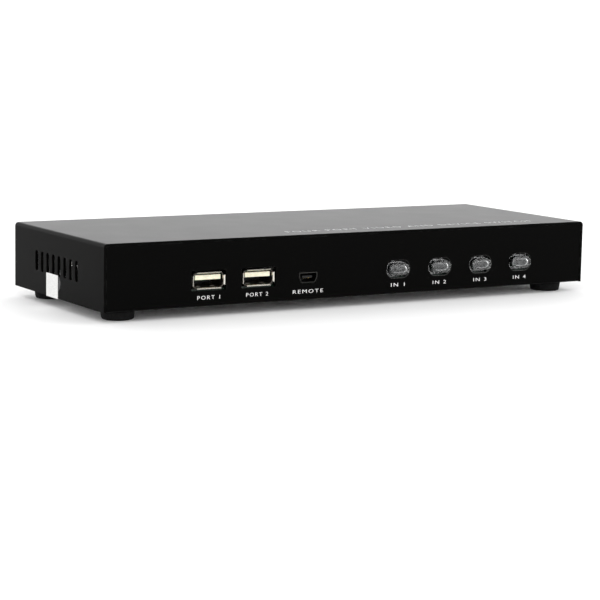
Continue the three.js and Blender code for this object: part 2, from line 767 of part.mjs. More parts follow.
// An obround cap with a bevelled face and a square stem that slides in its switch.
function makeButton(index) {
  const group = socketGroup(buttonPlaces[index], buttonHeight, false, 0);
  const front = -panelRecess - buttonProud;
  const inner = grown(buttonFace, -buttonEdge);
  const face = new THREE.ExtrudeGeometry(obround(inner), {
    depth: buttonLength - 2 * buttonEdge,
    bevelEnabled: true,
    bevelThickness: buttonEdge,
    bevelSize: buttonEdge,
    bevelSegments: 1,
    curveSegments: cornerSteps / 2,
  });
  const cap = turned(face, X, Z).translate(0, front + buttonLength - buttonEdge, 0);
  const back = front + buttonLength;
  const stem = bar(buttonStem, 0, 0, back - past, back + buttonStem.length);
  addPiece(`button_cap_${index + 1}`, joined(cap, stem), clearPlastic(), group);

  const bottom = contact - buttonHeight;
  const side = switchBody.width / 2;
  const housing = block(-side, side, switchFront, switchFront + switchBody.depth, bottom,
    bottom + switchBody.height);
  const stemHole = bar(grown(buttonStem, stemClearance), 0, 0, switchFront - past,
    back + buttonStem.length + buttonTravel + switchGap);
  addPiece(`button_switch_${index + 1}`, cut(housing, stemHole), blackPlastic(), group);
}

// ---------------------------------------------------------------- assembly

makeCover();
makeTray();
makeFeet();
makeSideScrews();
makeLabel();
makeBoard();
makeBoardScrews();
makeComponents();
frontDevicePlaces.forEach((x, i) => makeDeviceSocket(`front_device_${i + 1}`, x, frontDeviceHeight, false));
rearDevicePlaces.forEach((x, i) => makeDeviceSocket(`rear_device_${i + 1}`, x, rearDeviceHeight, true));
makeRemoteSocket();
makeVideoSocket('video_out', videoOutPlace);
videoPlaces.forEach((x, i) => makeVideoSocket(`video_in_${i + 1}`, x));
hostPlaces.forEach((x, i) => makeHostSocket(`host_${i + 1}`, x));
makePowerJack();
buttonPlaces.forEach((x, i) => makeButton(i));

export default model;
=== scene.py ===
import math

import bpy
import bmesh
from mathutils import Matrix, Vector


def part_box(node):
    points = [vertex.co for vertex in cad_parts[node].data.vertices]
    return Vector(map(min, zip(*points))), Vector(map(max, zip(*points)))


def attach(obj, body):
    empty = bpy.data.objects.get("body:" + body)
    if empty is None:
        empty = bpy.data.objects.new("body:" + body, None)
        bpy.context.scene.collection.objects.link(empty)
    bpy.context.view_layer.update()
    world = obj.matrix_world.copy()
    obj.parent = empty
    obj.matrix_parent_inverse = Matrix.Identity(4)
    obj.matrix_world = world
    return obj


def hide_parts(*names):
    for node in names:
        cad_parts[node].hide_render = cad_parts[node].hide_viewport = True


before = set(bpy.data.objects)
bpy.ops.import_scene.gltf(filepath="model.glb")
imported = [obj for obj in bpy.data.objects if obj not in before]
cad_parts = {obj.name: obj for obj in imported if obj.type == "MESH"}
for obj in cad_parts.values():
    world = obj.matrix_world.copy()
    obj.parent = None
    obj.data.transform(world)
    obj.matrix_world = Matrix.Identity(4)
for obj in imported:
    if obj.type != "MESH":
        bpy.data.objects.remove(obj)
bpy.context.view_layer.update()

# Sizes below are in millimetres, and each mesh is made in metres.
MM = 0.001
QUARTER = math.pi / 2    # a quarter turn, in radians
TINY = 1e-4              # points nearer to each other than this count as one

# ---------- sizes from the frame


def cad_box(*nodes):
    """The lowest and highest corners of CAD nodes together, in millimetres."""
    boxes = [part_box(node) for node in nodes]
    low = [min(box[0][i] for box in boxes) / MM for i in range(3)]
    high = [max(box[1][i] for box in boxes) / MM for i in range(3)]
    return Vector(low), Vector(high)


def middle(node):
    low, high = cad_box(node)
    return (low + high) / 2


COVER_LOW, COVER_HIGH = cad_box("top_cover")
TRAY_LOW, TRAY_HIGH = cad_box("base_tray")
CASE_CENTRE_Y = (COVER_LOW.y + COVER_HIGH.y) / 2
HALF_WIDTH = COVER_HIGH.x
FRONT_FACE = TRAY_LOW.y
REAR_FACE = TRAY_HIGH.y

SHEET = 1.0
COVER_BEND = 1.5
TRAY_BEND = 1.2
SHEET_EDGE = 0.14        # rounding of the sheets' cut edges
PRINT = 0.02             # thickness of a layer of ink
PROUD_OF_PRINT = 0.012   # thickness of lettering on top of a printed block
PANEL_CORNER_GAP = 0.1   # between the panels' upper corners and the inside of the cover's bends
TAB_LENGTH = 12.0
TAB_BOTTOM = 0.5
TAB_TOP = 9.0
LABEL_THICKNESS = 0.12
LABEL_BEND = 0.17
LABEL_EDGE = 0.03

VENT_COUNT = 8
VENT_PITCH = 5.37
VENT_WIDTH = 2.6
VENT_HEIGHT = 8.2
VENT_RISE = 12.8
VENT_SETBACK = 43.2

CORNERS = ["front_left", "front_right", "rear_left", "rear_right"]
BUTTONS = [f"button_cap_{i}" for i in range(1, 5)]
DEVICES = ["front_device_1", "front_device_2", "rear_device_1", "rear_device_2"]
VIDEOS = ["video_out"] + [f"video_in_{i}" for i in range(1, 5)]
HOSTS = [f"host_{i}" for i in range(1, 5)]

# ---------- node materials


class Look:
    """A Principled material, with short ways to add nodes to it."""

    def __init__(self, name, color, roughness, metallic=0.0, specular=0.5):
        self.material = bpy.data.materials.new(name)
        self.material.use_nodes = True
        self.tree = self.material.node_tree
        self.shader = self.tree.nodes["Principled BSDF"]
        self.put("Base Color", color)
        self.put("Roughness", roughness)
        self.put("Metallic", metallic)
        self.put("Specular IOR Level", specular)
        self.place = self.tree.nodes.new("ShaderNodeTexCoord").outputs["Object"]

    def fill(self, socket, value):
        """Gives an input another node's output, a colour or a number."""
        if isinstance(value, bpy.types.NodeSocket):
            self.tree.links.new(value, socket)
        elif isinstance(value, tuple):
            socket.default_value = (*value, 1.0)
        else:
            socket.default_value = value

    def put(self, name, value):
        self.fill(self.shader.inputs[name], value)

    def node(self, kind, settings=(), **inputs):
        made = self.tree.nodes.new(f"ShaderNode{kind}")
        for name, value in dict(settings).items():
            setattr(made, name, value)
        for name, value in inputs.items():
            self.fill(made.inputs[name.replace("_", " ")], value)
        return made

    def noise(self, size_mm, detail=2.0):
        """Noise whose blotches are about size_mm across."""
        made = self.node("TexNoise", Vector=self.place, Scale=1.0 / (size_mm * MM), Detail=detail)
        return made.outputs["Fac"]

    def streaks(self, per_metre, detail=2.0):
        """Noise drawn out into lines, with so many blotches per metre along each axis."""
        mapping = self.node("Mapping", Vector=self.place)
        mapping.inputs["Scale"].default_value = per_metre
        made = self.node("TexNoise", Vector=mapping.outputs["Vector"], Scale=1.0, Detail=detail)
        return made.outputs["Fac"]

    def spread(self, value, low, high, to_low, to_high):
        """A value between low and high, stretched to lie between two others."""
        limits = {"From_Min": low, "From_Max": high, "To_Min": to_low, "To_Max": to_high}
        return self.node("MapRange", Value=value, **limits).outputs["Result"]

    def times(self, first, second):
        made = self.node("Math", {"operation": "MULTIPLY"})
        self.fill(made.inputs[0], first)
        self.fill(made.inputs[1], second)
        return made.outputs["Value"]

    def mixed(self, factor, first, second):
        """One of two colours, or between them by a factor."""
        made = self.node("Mix", {"data_type": "RGBA"}, Factor=factor)
        self.fill(made.inputs[6], first)
        self.fill(made.inputs[7], second)
        return made.outputs[2]

    def edges(self, radius_mm):
        """Near 1 on edges sharper than a radius, and 0 on flat stretches."""
        bevel = self.node("Bevel", {"samples": 6}, Radius=radius_mm * MM)
        flat = self.node("NewGeometry")
        likeness = self.node("VectorMath", {"operation": "DOT_PRODUCT"})
        self.fill(likeness.inputs[0], bevel.outputs["Normal"])
        self.fill(likeness.inputs[1], flat.outputs["Normal"])
        return self.spread(likeness.outputs["Value"], 0.995, 0.9, 0.0, 1.0)

    def bump(self, height, depth_mm):
        made = self.node("Bump", Height=height, Strength=1.0, Distance=depth_mm * MM)
        self.put("Normal", made.outputs["Normal"])

    def grain(self, size_mm, depth_mm, detail=2.0):
        """Fine relief, with bumps about size_mm across."""
        self.bump(self.noise(size_mm, detail), depth_mm)

    def rough(self, size_mm, low, high, detail=2.0):
        """Roughness that drifts between two values over blotches about size_mm across."""
        self.put("Roughness", self.spread(self.noise(size_mm, detail), 0.3, 0.7, low, high))


COAT_BLACK = (0.0014, 0.0014, 0.0013)
OXIDE_BLACK = (0.02, 0.02, 0.021)
RUBBER_BLACK = (0.004, 0.004, 0.004)
RESIST_GREEN = (0.001, 0.009, 0.004)


def plain(name, color, roughness, metallic, rough, grain):
    """A material with no more than an uneven roughness and a grain."""
    look = Look(name, color, roughness, metallic)
    look.rough(*rough)
    look.grain(*grain)
    return look.material


def coated_steel():
    """Satin black powder coat: a fine orange-peel skin, faint rub marks, and edges worn a little paler."""
    look = Look("black_coat", COAT_BLACK, 0.35, specular=0.014)
    look.rough(14.0, 0.33, 0.345, 3.0)
    worn = look.times(look.edges(0.3), look.spread(look.noise(2.2, 3.0), 0.45, 0.75, 0.0, 0.8))
    specks = look.spread(look.noise(0.35, 1.0), 0.70, 0.78, 0.0, 0.3)
    dusty = look.mixed(specks, COAT_BLACK, (0.012, 0.012, 0.012))
    look.put("Base Color", look.mixed(worn, dusty, (0.035, 0.035, 0.033)))
    look.grain(0.45, 0.006)
    return look.material


def nickel(name="nickel", color=(0.66, 0.63, 0.57), low=0.16, high=0.34):
    """Nickel plate with faint drawing lines and small rub marks, its roughness between low and high."""
    look = Look(name, color, 0.25, 1.0)
    lines = look.streaks((900, 5200, 900))
    clouds = look.noise(2.5)
    look.put("Roughness", look.spread(look.times(lines, clouds), 0.12, 0.42, low, high))
    dull = tuple(0.72 * part for part in color)
    look.put("Base Color", look.mixed(look.spread(clouds, 0.35, 0.75, 0.0, 1.0), color, dull))
    look.bump(lines, 0.0025)
    return look.material


def black_steel():
    """Black oxide, worn to bare metal on its edges."""
    look = Look("black_steel", OXIDE_BLACK, 0.35, 0.6)
    worn = look.times(look.edges(0.2), look.spread(look.noise(0.5), 0.4, 0.7, 0.0, 1.0))
    look.put("Base Color", look.mixed(worn, OXIDE_BLACK, (0.2, 0.2, 0.2)))
    look.grain(0.15, 0.003)
    return look.material


def plastic(name, color, roughness, specular=0.5, subsurface=0.0):
    """Moulded plastic: a fine spark-eroded grain and a slight drift of shade."""
    look = Look(name, color, roughness, specular=specular)
    drift = look.spread(look.noise(3.0), 0.3, 0.7, 0.0, 1.0)
    darker = tuple(0.8 * part for part in color)
    look.put("Base Color", look.mixed(drift, color, darker))
    look.rough(0.6, roughness - 0.07, roughness + 0.07)
    look.put("Subsurface Weight", subsurface)
    look.put("Subsurface Scale", 0.8 * MM)
    look.grain(0.12, 0.004)
    return look.material


def clear_plastic():
    look = Look("clear_plastic", (0.93, 0.95, 0.95), 0.06, specular=0.3)
    look.put("Transmission Weight", 1.0)
    look.put("IOR", 1.49)
    look.put("Roughness", look.spread(look.noise(1.2, 3.0), 0.35, 0.7, 0.02, 0.07))
    look.grain(0.8, 0.0015)
    return look.material


def rubber():
    """Matt moulded rubber with some dust on it."""
    look = Look("foot_rubber", RUBBER_BLACK, 0.8, specular=0.08)
    dust = look.spread(look.noise(1.5, 4.0), 0.5, 0.75, 0.0, 0.6)
    look.put("Base Color", look.mixed(dust, RUBBER_BLACK, (0.014, 0.0135, 0.013)))
    look.grain(0.22, 0.02, 3.0)
    return look.material


def ink(name, color, other):
    """Screen print: a slightly uneven film, with pinholes of another colour."""
    look = Look(name, color, 0.5)
    thin = look.spread(look.noise(0.25), 0.62, 0.75, 0.0, 0.8)
    look.put("Base Color", look.mixed(thin, color, other))
    look.rough(2.0, 0.42, 0.58)
    look.grain(0.12, 0.003)
    return look.material


def paper():
    look = Look("label_paper", (0.62, 0.62, 0.61), 0.75)
    fibres = look.streaks((2600, 900, 2600), 4.0)
    shade = look.spread(fibres, 0.35, 0.7, 0.0, 1.0)
    look.put("Base Color", look.mixed(shade, (0.64, 0.64, 0.63), (0.50, 0.50, 0.49)))
    look.bump(fibres, 0.01)
    return look.material


def circuit_green():
    """Dark green solder resist over a raised grid of copper tracks."""
    look = Look("solder_resist", RESIST_GREEN, 0.35)
    tracks = look.node("TexBrick", Vector=look.place, Scale=260.0, Mortar_Size=0.03)
    lines = tracks.outputs["Fac"]
    look.put("Base Color", look.mixed(lines, RESIST_GREEN, (0.004, 0.026, 0.011)))
    look.bump(lines, 0.03)
    return look.material


def floor_look():
    look = Look("pale_floor", (0.93, 0.93, 0.93), 0.7, specular=0.2)
    look.put("Base Color", look.mixed(look.noise(60.0, 3.0), (0.92, 0.92, 0.92), (0.95, 0.95, 0.95)))
    look.grain(2.0, 0.02)
    return look.material


COAT = coated_steel()
BARE = plain("bare_steel", (0.06, 0.06, 0.058), 0.2, 1.0, (0.4, 0.12, 0.3), (0.15, 0.004))   # cut edges
NICKEL = nickel()
# A darker copy of the nickel for the video sockets' shells and the power pin: painted shade. The plating is
# the same nickel.
VIDEO_AND_PIN_SHADE_NICKEL = nickel("video_pin_nickel_painted_shade", (0.17, 0.155, 0.14), 0.22, 0.42)
# A darker copy of the nickel for the tubes and spring leaves inside the device sockets: painted shade.
DEEP_SHADE_NICKEL = nickel("device_nickel_painted_deep_shade", (0.10, 0.09, 0.08), 0.25, 0.45)
# A darker copy of the nickel for the remote socket's shell: painted shade.
REMOTE_SHADE_NICKEL = nickel("remote_nickel_painted_shade", (0.04, 0.039, 0.037), 0.3, 0.5)
ZINC = plain("zinc_steel", (0.46, 0.47, 0.48), 0.3, 1.0, (0.8, 0.22, 0.42, 3.0), (0.2, 0.003))
BLACK_STEEL = black_steel()
GOLD = plain("gold_contact", (0.83, 0.60, 0.25), 0.25, 1.0, (0.3, 0.18, 0.36), (0.1, 0.001))
IVORY = plastic("ivory_plastic", (0.71, 0.69, 0.53), 0.42, subsurface=0.15)
WHITE = plastic("white_plastic", (0.74, 0.74, 0.73), 0.4, subsurface=0.1)
# Grey plastic for the host sockets' cavity walls and back: painted shade. The real insulator is white.
SHADE_GREY = plastic("grey_plastic_painted_shade", (0.16, 0.16, 0.155), 0.4)
BLACK = plastic("black_plastic", (0.006, 0.006, 0.006), 0.45, specular=0.2)
CLEAR = clear_plastic()
SMOKED = plastic("smoked_lens", (0.02, 0.02, 0.021), 0.15, specular=0.15)
DIFFUSER = plastic("smoked_diffuser", (0.02, 0.02, 0.021), 0.3, specular=0.15)
RUBBER = rubber()
WHITE_INK = ink("white_ink", (0.82, 0.82, 0.82), (0.45, 0.45, 0.45))
PALE_INK = ink("pale_ink", (0.56, 0.56, 0.56), (0.35, 0.35, 0.35))
GREY_INK = ink("grey_ink", (0.42, 0.42, 0.42), (0.25, 0.25, 0.25))
BLACK_INK = ink("black_ink", (0.02, 0.02, 0.02), (0.06, 0.06, 0.06))
PAPER = paper()
GREEN = circuit_green()
EPOXY = plain("chip_epoxy", (0.014, 0.014, 0.015), 0.6, 0.0, (0.5, 0.5, 0.7), (0.08, 0.008, 3.0))
CAN = nickel("capacitor_can", (0.60, 0.60, 0.61), 0.25, 0.45)

# ---------- outlines, in a flat plane


def arc(cx, cy, radius, start, end, steps):
    """Points on an arc, with angles in quarter turns."""
    angles = [QUARTER * (start + (end - start) * k / steps) for k in range(steps + 1)]
    return [(cx + radius * math.cos(a), cy + radius * math.sin(a)) for a in angles]


def rounded(width, height, radius, steps=5, cx=0.0, cy=0.0):
    x, y, r = width / 2, height / 2, min(radius, width / 2, height / 2)
    corners = [(x - r, y - r), (r - x, y - r), (r - x, r - y), (x - r, r - y)]
    points = []
    for turn, (px, py) in enumerate(corners):
        points += arc(cx + px, cy + py, r, turn, turn + 1, steps)
    return [p for i, p in enumerate(points) if math.dist(p, points[i - 1]) > TINY]


def spaced(count, pitch):
    """Evenly spaced values, centred on 0."""
    return [(k - (count - 1) / 2) * pitch for k in range(count)]


def circle(radius, steps=32, cx=0.0, cy=0.0):
    return arc(cx, cy, radius, 0, 4, steps)[:-1]


def cut_corners(width, height, across, up, radius=0.9, steps=4):
    """Upper corners rounded, lower corners cut off at a slant."""
    x, y, r = width / 2, height / 2, radius
    points = arc(x - r, y - r, r, 0, 1, steps) + arc(r - x, y - r, r, 1, 2, steps)
    return points + [(-x, up - y), (across - x, -y), (x - across, -y), (x, up - y)]


def inset(points, amount):
    """A closed, anticlockwise outline moved inwards by an amount, or outwards if it is negative."""
    moved = []
    for i, point in enumerate(points):
        here = Vector(point)
        before = (here - Vector(points[i - 1])).normalized()
        after = (Vector(points[(i + 1) % len(points)]) - here).normalized()
        first = Vector((-before.y, before.x))
        second = Vector((-after.y, after.x))
        moved.append(tuple(here + (first + second) * amount / (1 + first.dot(second))))
    return moved


def filled(loops):
    """Triangles over a flat region, by place in the joined list of points: an outline, then its holes."""
    bm = bmesh.new()
    edges = []
    for loop in loops:
        corners = [bm.verts.new((x, y, 0)) for x, y in loop]
        edges += [bm.edges.new((corners[i - 1], corners[i])) for i in range(len(corners))]
    bm.verts.index_update()
    bmesh.ops.triangle_fill(bm, use_beauty=True, use_dissolve=False, edges=edges)
    bm.verts.index_update()
    triangles = [tuple(v.index for v in face.verts) for face in bm.faces]
    bm.free()
    return triangles


# ---------- meshes


class Shape:
    """Collects points and faces in millimetres, in a frame of its own, and turns them into one object."""

    def __init__(self, at=(0.0, 0.0, 0.0), rear=False):
        self.matrix = Matrix.Translation(Vector(at)) @ Matrix.Rotation(2 * QUARTER if rear else 0.0, 4, "Z")
        self.points = []
        self.faces = []
        self.looks = []

    def add(self, points):
        start = len(self.points)
        self.points += [self.matrix @ Vector(p) for p in points]
        return list(range(start, len(self.points)))

    def face(self, corners, look=0):
        self.faces.append(corners)
        self.looks.append(look)

    def bridge(self, first, second, look=0):
        for i in range(len(first)):
            self.face((first[i - 1], first[i], second[i], second[i - 1]), look)

    def skin(self, rings, look=0):
        """Joins rings of equal length, one after another, and gives the places of their points."""
        added = [self.add(ring) for ring in rings]
        for before, after in zip(added, added[1:]):
            self.bridge(before, after, look)
        return added

    def tube(self, rings, closed=False, look=0):
        """A skin over rings that is closed into a loop, or by flat ends."""
        added = self.skin(rings, look)
        if closed:
            self.bridge(added[-1], added[0], look)
        else:
            self.face(tuple(reversed(added[0])), look)
            self.face(tuple(added[-1]), look)

    def lathe(self, profile, steps=32, axis="z", centre=(0.0, 0.0, 0.0), look=0):
        """Turns a profile of (radius, height) about the y or z axis, with flat ends."""
        rings = []
        for radius, height in profile:
            spots = [(u, v, height) if axis == "z" else (u, height, v) for u, v in circle(radius, steps)]
            rings.append([tuple(Vector(spot) + Vector(centre)) for spot in spots])
        self.tube(rings, look=look)

    def block(self, low, high, edge=0.0, look=0):
        """A box whose edges are all rounded off by a chamfer in two steps."""
        size = [end - start for start, end in zip(low, high)]
        e = min(edge, min(size) / 2 - TINY)
        cx, cy = (low[0] + high[0]) / 2, (low[1] + high[1]) / 2
        outline = rounded(size[0], size[1], max(e, 10 * TINY), 2, cx, cy)
        steps = [(e, 0.0), (0.3 * e, 0.3 * e), (0.0, e)]
        levels = [(inward, low[2] + rise) for inward, rise in steps]
        levels += [(inward, high[2] - rise) for inward, rise in reversed(steps)]
        # Not quite the whole radius, so that no corner shrinks to a point.
        self.tube([[(x, y, z) for x, y in inset(outline, 0.99 * inward)] for inward, z in levels], look=look)

    def ribbon(self, path, thickness, across, look=0):
        """A bent strip: a path of (depth, height) points, thickened upwards, between two values of x."""
        section = path + [(depth, height + thickness) for depth, height in reversed(path)]
        self.tube([[(x, depth, height) for depth, height in section] for x in across], look=look)

    def finish(self, name, materials, slot, body="root", replaces=(), smooth=35.0):
        mesh = bpy.data.meshes.new(name)
        mesh.from_pydata([p * MM for p in self.points], [], self.faces)
        bm = bmesh.new()
        bm.from_mesh(mesh)
        for face, look in zip(bm.faces, self.looks):
            face.material_index = look
        bmesh.ops.remove_doubles(bm, verts=bm.verts, dist=TINY * MM)
        bmesh.ops.recalc_face_normals(bm, faces=bm.faces)
        bm.to_mesh(mesh)
        bm.free()
        mesh.shade_smooth()
        mesh.set_sharp_from_angle(angle=math.radians(smooth))
        for material in materials:
            mesh.materials.append(material)
        piece = bpy.data.objects.new(name, mesh)
        bpy.context.scene.collection.objects.link(piece)
        even = piece.modifiers.new("flat_faces_stay_flat", "WEIGHTED_NORMAL")
        even.keep_sharp = True
        even.weight = 100
        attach(piece, body)
        if replaces:
            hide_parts(*replaces)
        return piece


UNBENT = (-300.0, 300.0)   # the folds of a flat sheet: its ends, or anything beyond them


def folded_sheet(shape, outline, holes, folds, place, thickness, edge, bare=()):
    """A sheet with rounded cut edges, cut flat in (u, v) and then folded by place(u, v, depth).

    folds are the values of u where the flat stretches and the bends' steps meet, and bare holds the holes
    whose walls get the second look: bare steel in the tray, and grey plastic as painted shade in the host
    sockets.
    """
    steps = [(edge * (1 - math.sin(a)), edge * (1 - math.cos(a))) for a in (0.0, QUARTER / 2, QUARTER)]
    levels = steps + [(inward, thickness - depth) for inward, depth in reversed(steps)]
    skins = []
    for loop in [outline] + holes:
        rings = [shape.add([place(u, v, depth) for u, v in inset(loop, inward)]) for inward, depth in levels]
        for before, after in zip(rings, rings[1:]):
            shape.bridge(before, after, 1 if loop in bare else 0)
        skins.append((inset(loop, edge), rings[0], rings[-1]))
    points, outer, inner = skins[0]
    for low, high in zip(folds, folds[1:]):
        inside = [i for i, (u, _) in enumerate(points) if low - 10 * TINY <= u <= high + 10 * TINY]
        loops = [[points[i] for i in inside]]
        tops = [outer[i] for i in inside]
        bottoms = [inner[i] for i in inside]
        for hole, first, last in skins[1:]:
            if low < hole[0][0] < high:
                loops.append(hole)
                tops += first
                bottoms += last
        for a, b, c in filled(loops):
            shape.face((tops[a], tops[b], tops[c]))
            shape.face((bottoms[c], bottoms[b], bottoms[a]))


def hole(points):
    """An outline listed the other way round, so that its inside is the sheet around it."""
    return points[::-1]


def softened(points, radius, steps=3):
    """An outline with each corner replaced by a short curve."""
    result = []
    for i, point in enumerate(points):
        here = Vector(point)
        before = (Vector(points[i - 1]) - here).normalized() * radius
        after = (Vector(points[(i + 1) % len(points)]) - here).normalized() * radius
        for k in range(steps + 1):
            t = k / steps
            result.append(tuple(here + before * (1 - t) ** 2 + after * t ** 2))
    return result


# ---------- case


class Fold:
    """A sheet with quarter bends, seen along them: u runs over its outer face, from one end to the other.

    It starts at a point, with its heading there and the direction into the sheet, and it bends that way
    between each of its flats and the next.
    """

    def __init__(self, start, heading, inward, flats, bend, steps=6):
        self.bend = bend
        self.flats = []
        self.folds = [0.0]
        corner, along, into = Vector(start), Vector(heading), Vector(inward)
        begin = 0.0
        for length in flats:
            end = begin + length
            self.flats.append((begin, end, corner, along, into))
            self.folds += [end + bend * QUARTER * k / steps for k in range(steps + 1)]
            begin = end + bend * QUARTER
            corner = corner + along * (length + bend) + into * bend
            along, into = into, -along
        del self.folds[-steps:]
        self.last_flat = self.flats[-1][0]

    def at(self, u, depth):
        """Where u comes to lie once the sheet is bent, at a depth below the outer face."""
        for begin, end, corner, along, into in self.flats:
            if u <= end or begin == self.last_flat:
                return corner + along * (u - begin) + into * depth
            if u <= end + self.bend * QUARTER:
                angle = (u - end) / self.bend
                centre = corner + along * (end - begin) + into * self.bend
                return centre + (along * math.sin(angle) - into * math.cos(angle)) * (self.bend - depth)

    def place(self, u, v, depth):
        """The place in space, where the bends run along y."""
        x, z = self.at(u, depth)
        return (x, v, z)

    def outline(self, low, high):
        """The flat sheet, between two values of v."""
        return [(u, low) for u in self.folds] + [(u, high) for u in reversed(self.folds)]


def make_cover():
    low = COVER_LOW
    high = COVER_HIGH - Vector((0, 0, PRINT))
    side = high.z - low.z - COVER_BEND
    top = 2 * (HALF_WIDTH - COVER_BEND)
    fold = Fold((-HALF_WIDTH, low.z), (0, 1), (1, 0), (side, top, side), COVER_BEND)

    screw = middle("side_screw_left")
    holes = []
    for rise_to_u in (lambda z: z - low.z, lambda z: fold.last_flat + high.z - COVER_BEND - z):
        for shift in spaced(VENT_COUNT, VENT_PITCH):
            v = low.y + VENT_SETBACK + shift
            slot = rounded(VENT_HEIGHT, VENT_WIDTH, VENT_WIDTH / 2, 6, rise_to_u(low.z + VENT_RISE), v)
            holes.append(hole(slot))
        holes.append(hole(circle(SCREW_HEAD_RADIUS + SCREW_HEAD_GAP, 32, rise_to_u(screw.z), screw.y)))
    shape = Shape()
    folded_sheet(shape, fold.outline(low.y, high.y), holes, fold.folds, fold.place, SHEET, SHEET_EDGE)
    shape.finish("cover_sheet", [COAT], "black_coat", replaces=["top_cover"])


def panel_outline(kind, margin):
    """The outline of a socket or button in its panel, that much larger than the piece."""
    return inset(PANEL_OUTLINES[kind], -margin)


def make_tray():
    low, high = TRAY_LOW, TRAY_HIGH
    half = high.x
    panel = high.z - low.z - TRAY_BEND
    floor = high.y - low.y - 2 * TRAY_BEND
    fold = Fold((low.y, high.z), (0, -1), (1, 0), (panel, floor, panel), TRAY_BEND)

    def place(u, v, depth):
        y, z = fold.at(u, depth)
        return (v, y, z)

    def cut_outs(kind, nodes):
        """Holes for pieces of one kind, each in the panel that its node is nearer to."""
        made = []
        for centre in map(middle, nodes):
            outline = [(x + centre.x, z + centre.z) for x, z in panel_outline(kind, PANEL_GAPS[kind])]
            if centre.y > CASE_CENTRE_Y:
                made.append([(fold.last_flat + z - low.z - TRAY_BEND, x) for x, z in outline])
            else:
                made.append(hole([(high.z - z, x) for x, z in outline]))
        return made

    sockets = {"device": DEVICES, "video": VIDEOS, "host": HOSTS, "remote": ["remote_socket"]}
    holes = []
    for kind, names in sockets.items():
        holes += cut_outs(kind, [f"{name}_shell" for name in names])
    button_holes = cut_outs("button", BUTTONS)
    holes += button_holes + cut_outs("jack", ["power_jack_pin"])

    r = COVER_BEND - SHEET - PANEL_CORNER_GAP
    end = fold.folds[-1]
    bends = fold.folds[1:-1]
    outline = [(u, -half) for u in bends] + arc(end - r, r - half, r, 3, 4, 4)
    outline += arc(end - r, half - r, r, 0, 1, 4) + [(u, half) for u in reversed(bends)]
    outline += arc(r, half - r, r, 1, 2, 4) + arc(r, r - half, r, 2, 3, 4)

    shape = Shape()
    folded_sheet(shape, outline, holes, fold.folds, place, SHEET, SHEET_EDGE, button_holes)
    screw = middle("side_screw_left")
    for side in (-1, 1):
        inner, outer = sorted((side * half, side * (half - SHEET)))
        start, stop = screw.y - TAB_LENGTH / 2, screw.y + TAB_LENGTH / 2
        shape.block((inner, start, low.z + TAB_BOTTOM), (outer, stop, low.z + TAB_TOP), 0.2)
    board = cad_box("main_board")[0].z
    post = [(3.2, low.z + 0.9), (3.0, low.z + 1.4), (3.0, board - 0.2), (2.8, board - 0.05)]
    for corner in CORNERS:
        spot = middle(f"board_screw_{corner}")
        shape.lathe(post, 24, "z", (spot.x, spot.y, 0))
    shape.finish("tray_sheet", [COAT, BARE], "black_coat", replaces=["base_tray"])


def make_feet():
    for corner in CORNERS:
        node = f"foot_{corner}"
        low, high = cad_box(node)
        top = high.z
        profile = [
            (0.3, 0.9), (2.6, 0.9), (2.9, 0.75), (3.2, 0.12), (3.5, 0.0), (5.5, 0.0), (5.9, 0.12),
            (6.12, 0.4), (6.28, 0.8), (6.6, top - 0.9), (6.45, top - 0.75), (6.45, top - 0.55),
            (6.7, top - 0.4), (6.74, top - 0.1), (6.6, top), (0.3, top),
        ]
        mid = (low + high) / 2
        shape = Shape((mid.x, mid.y, 0))
        shape.lathe(profile, 48)
        shape.finish(f"rubber_{node}", [RUBBER], "foot_rubber", replaces=[node], smooth=50)


# ---------- screws

SCREW_HEAD_RADIUS = 2.75
SCREW_HEAD_GAP = 0.2
SCREW_RADIUS = 1.4
SCREW_TIP_RADIUS = 0.9
SCREW_TIP = 0.6
THREAD_PITCH = 0.5
THREAD_DEPTH = 0.2
PAN_HEIGHT = 2.0
CROSS_REACH = 1.55
CROSS_WIDTH = 0.62
CROSS_DEPTH = 1.1


def cross_outline(reach, width):
    half = width / 2
    quarter = [(reach, -half), (reach, half), (half, half)]
    points = []
    for turn in range(4):
        c, s = math.cos(turn * QUARTER), math.sin(turn * QUARTER)
        points += [(x * c - y * s, x * s + y * c) for x, y in quarter]
    return points


def make_screw(name, node, matrix, head, length, material, slot):
    """A screw along -Z of a matrix; head is a profile of (radius, height), from shank to flat face."""
    shape = Shape()
    shape.matrix = matrix
    profile = [(SCREW_TIP_RADIUS, -length), (SCREW_RADIUS, SCREW_TIP - length)]
    turns = int((length - SCREW_TIP + head[0][1]) / THREAD_PITCH)
    for k in range(turns):
        base = SCREW_TIP - length + k * THREAD_PITCH
        profile += [(SCREW_RADIUS, base + 0.1), (SCREW_RADIUS - THREAD_DEPTH, base + 0.3)]
    profile += head
    added = shape.skin([[(x, y, z) for x, y in circle(radius)] for radius, z in profile])
    shape.face(tuple(added[0]))
    rim, top = profile[-1]
    cross = cross_outline(CROSS_REACH, CROSS_WIDTH)
    mouth = shape.add([(x, y, top) for x, y in cross])
    throat = shape.add([(0.62 * x, 0.7 * y, top - CROSS_DEPTH) for x, y in cross])
    corners = added[-1] + mouth
    for a, b, c in filled([circle(rim), cross]):
        shape.face((corners[a], corners[b], corners[c]))
    shape.bridge(mouth, throat)
    shape.face(tuple(throat))
    shape.finish(name, [material], slot, replaces=[node])


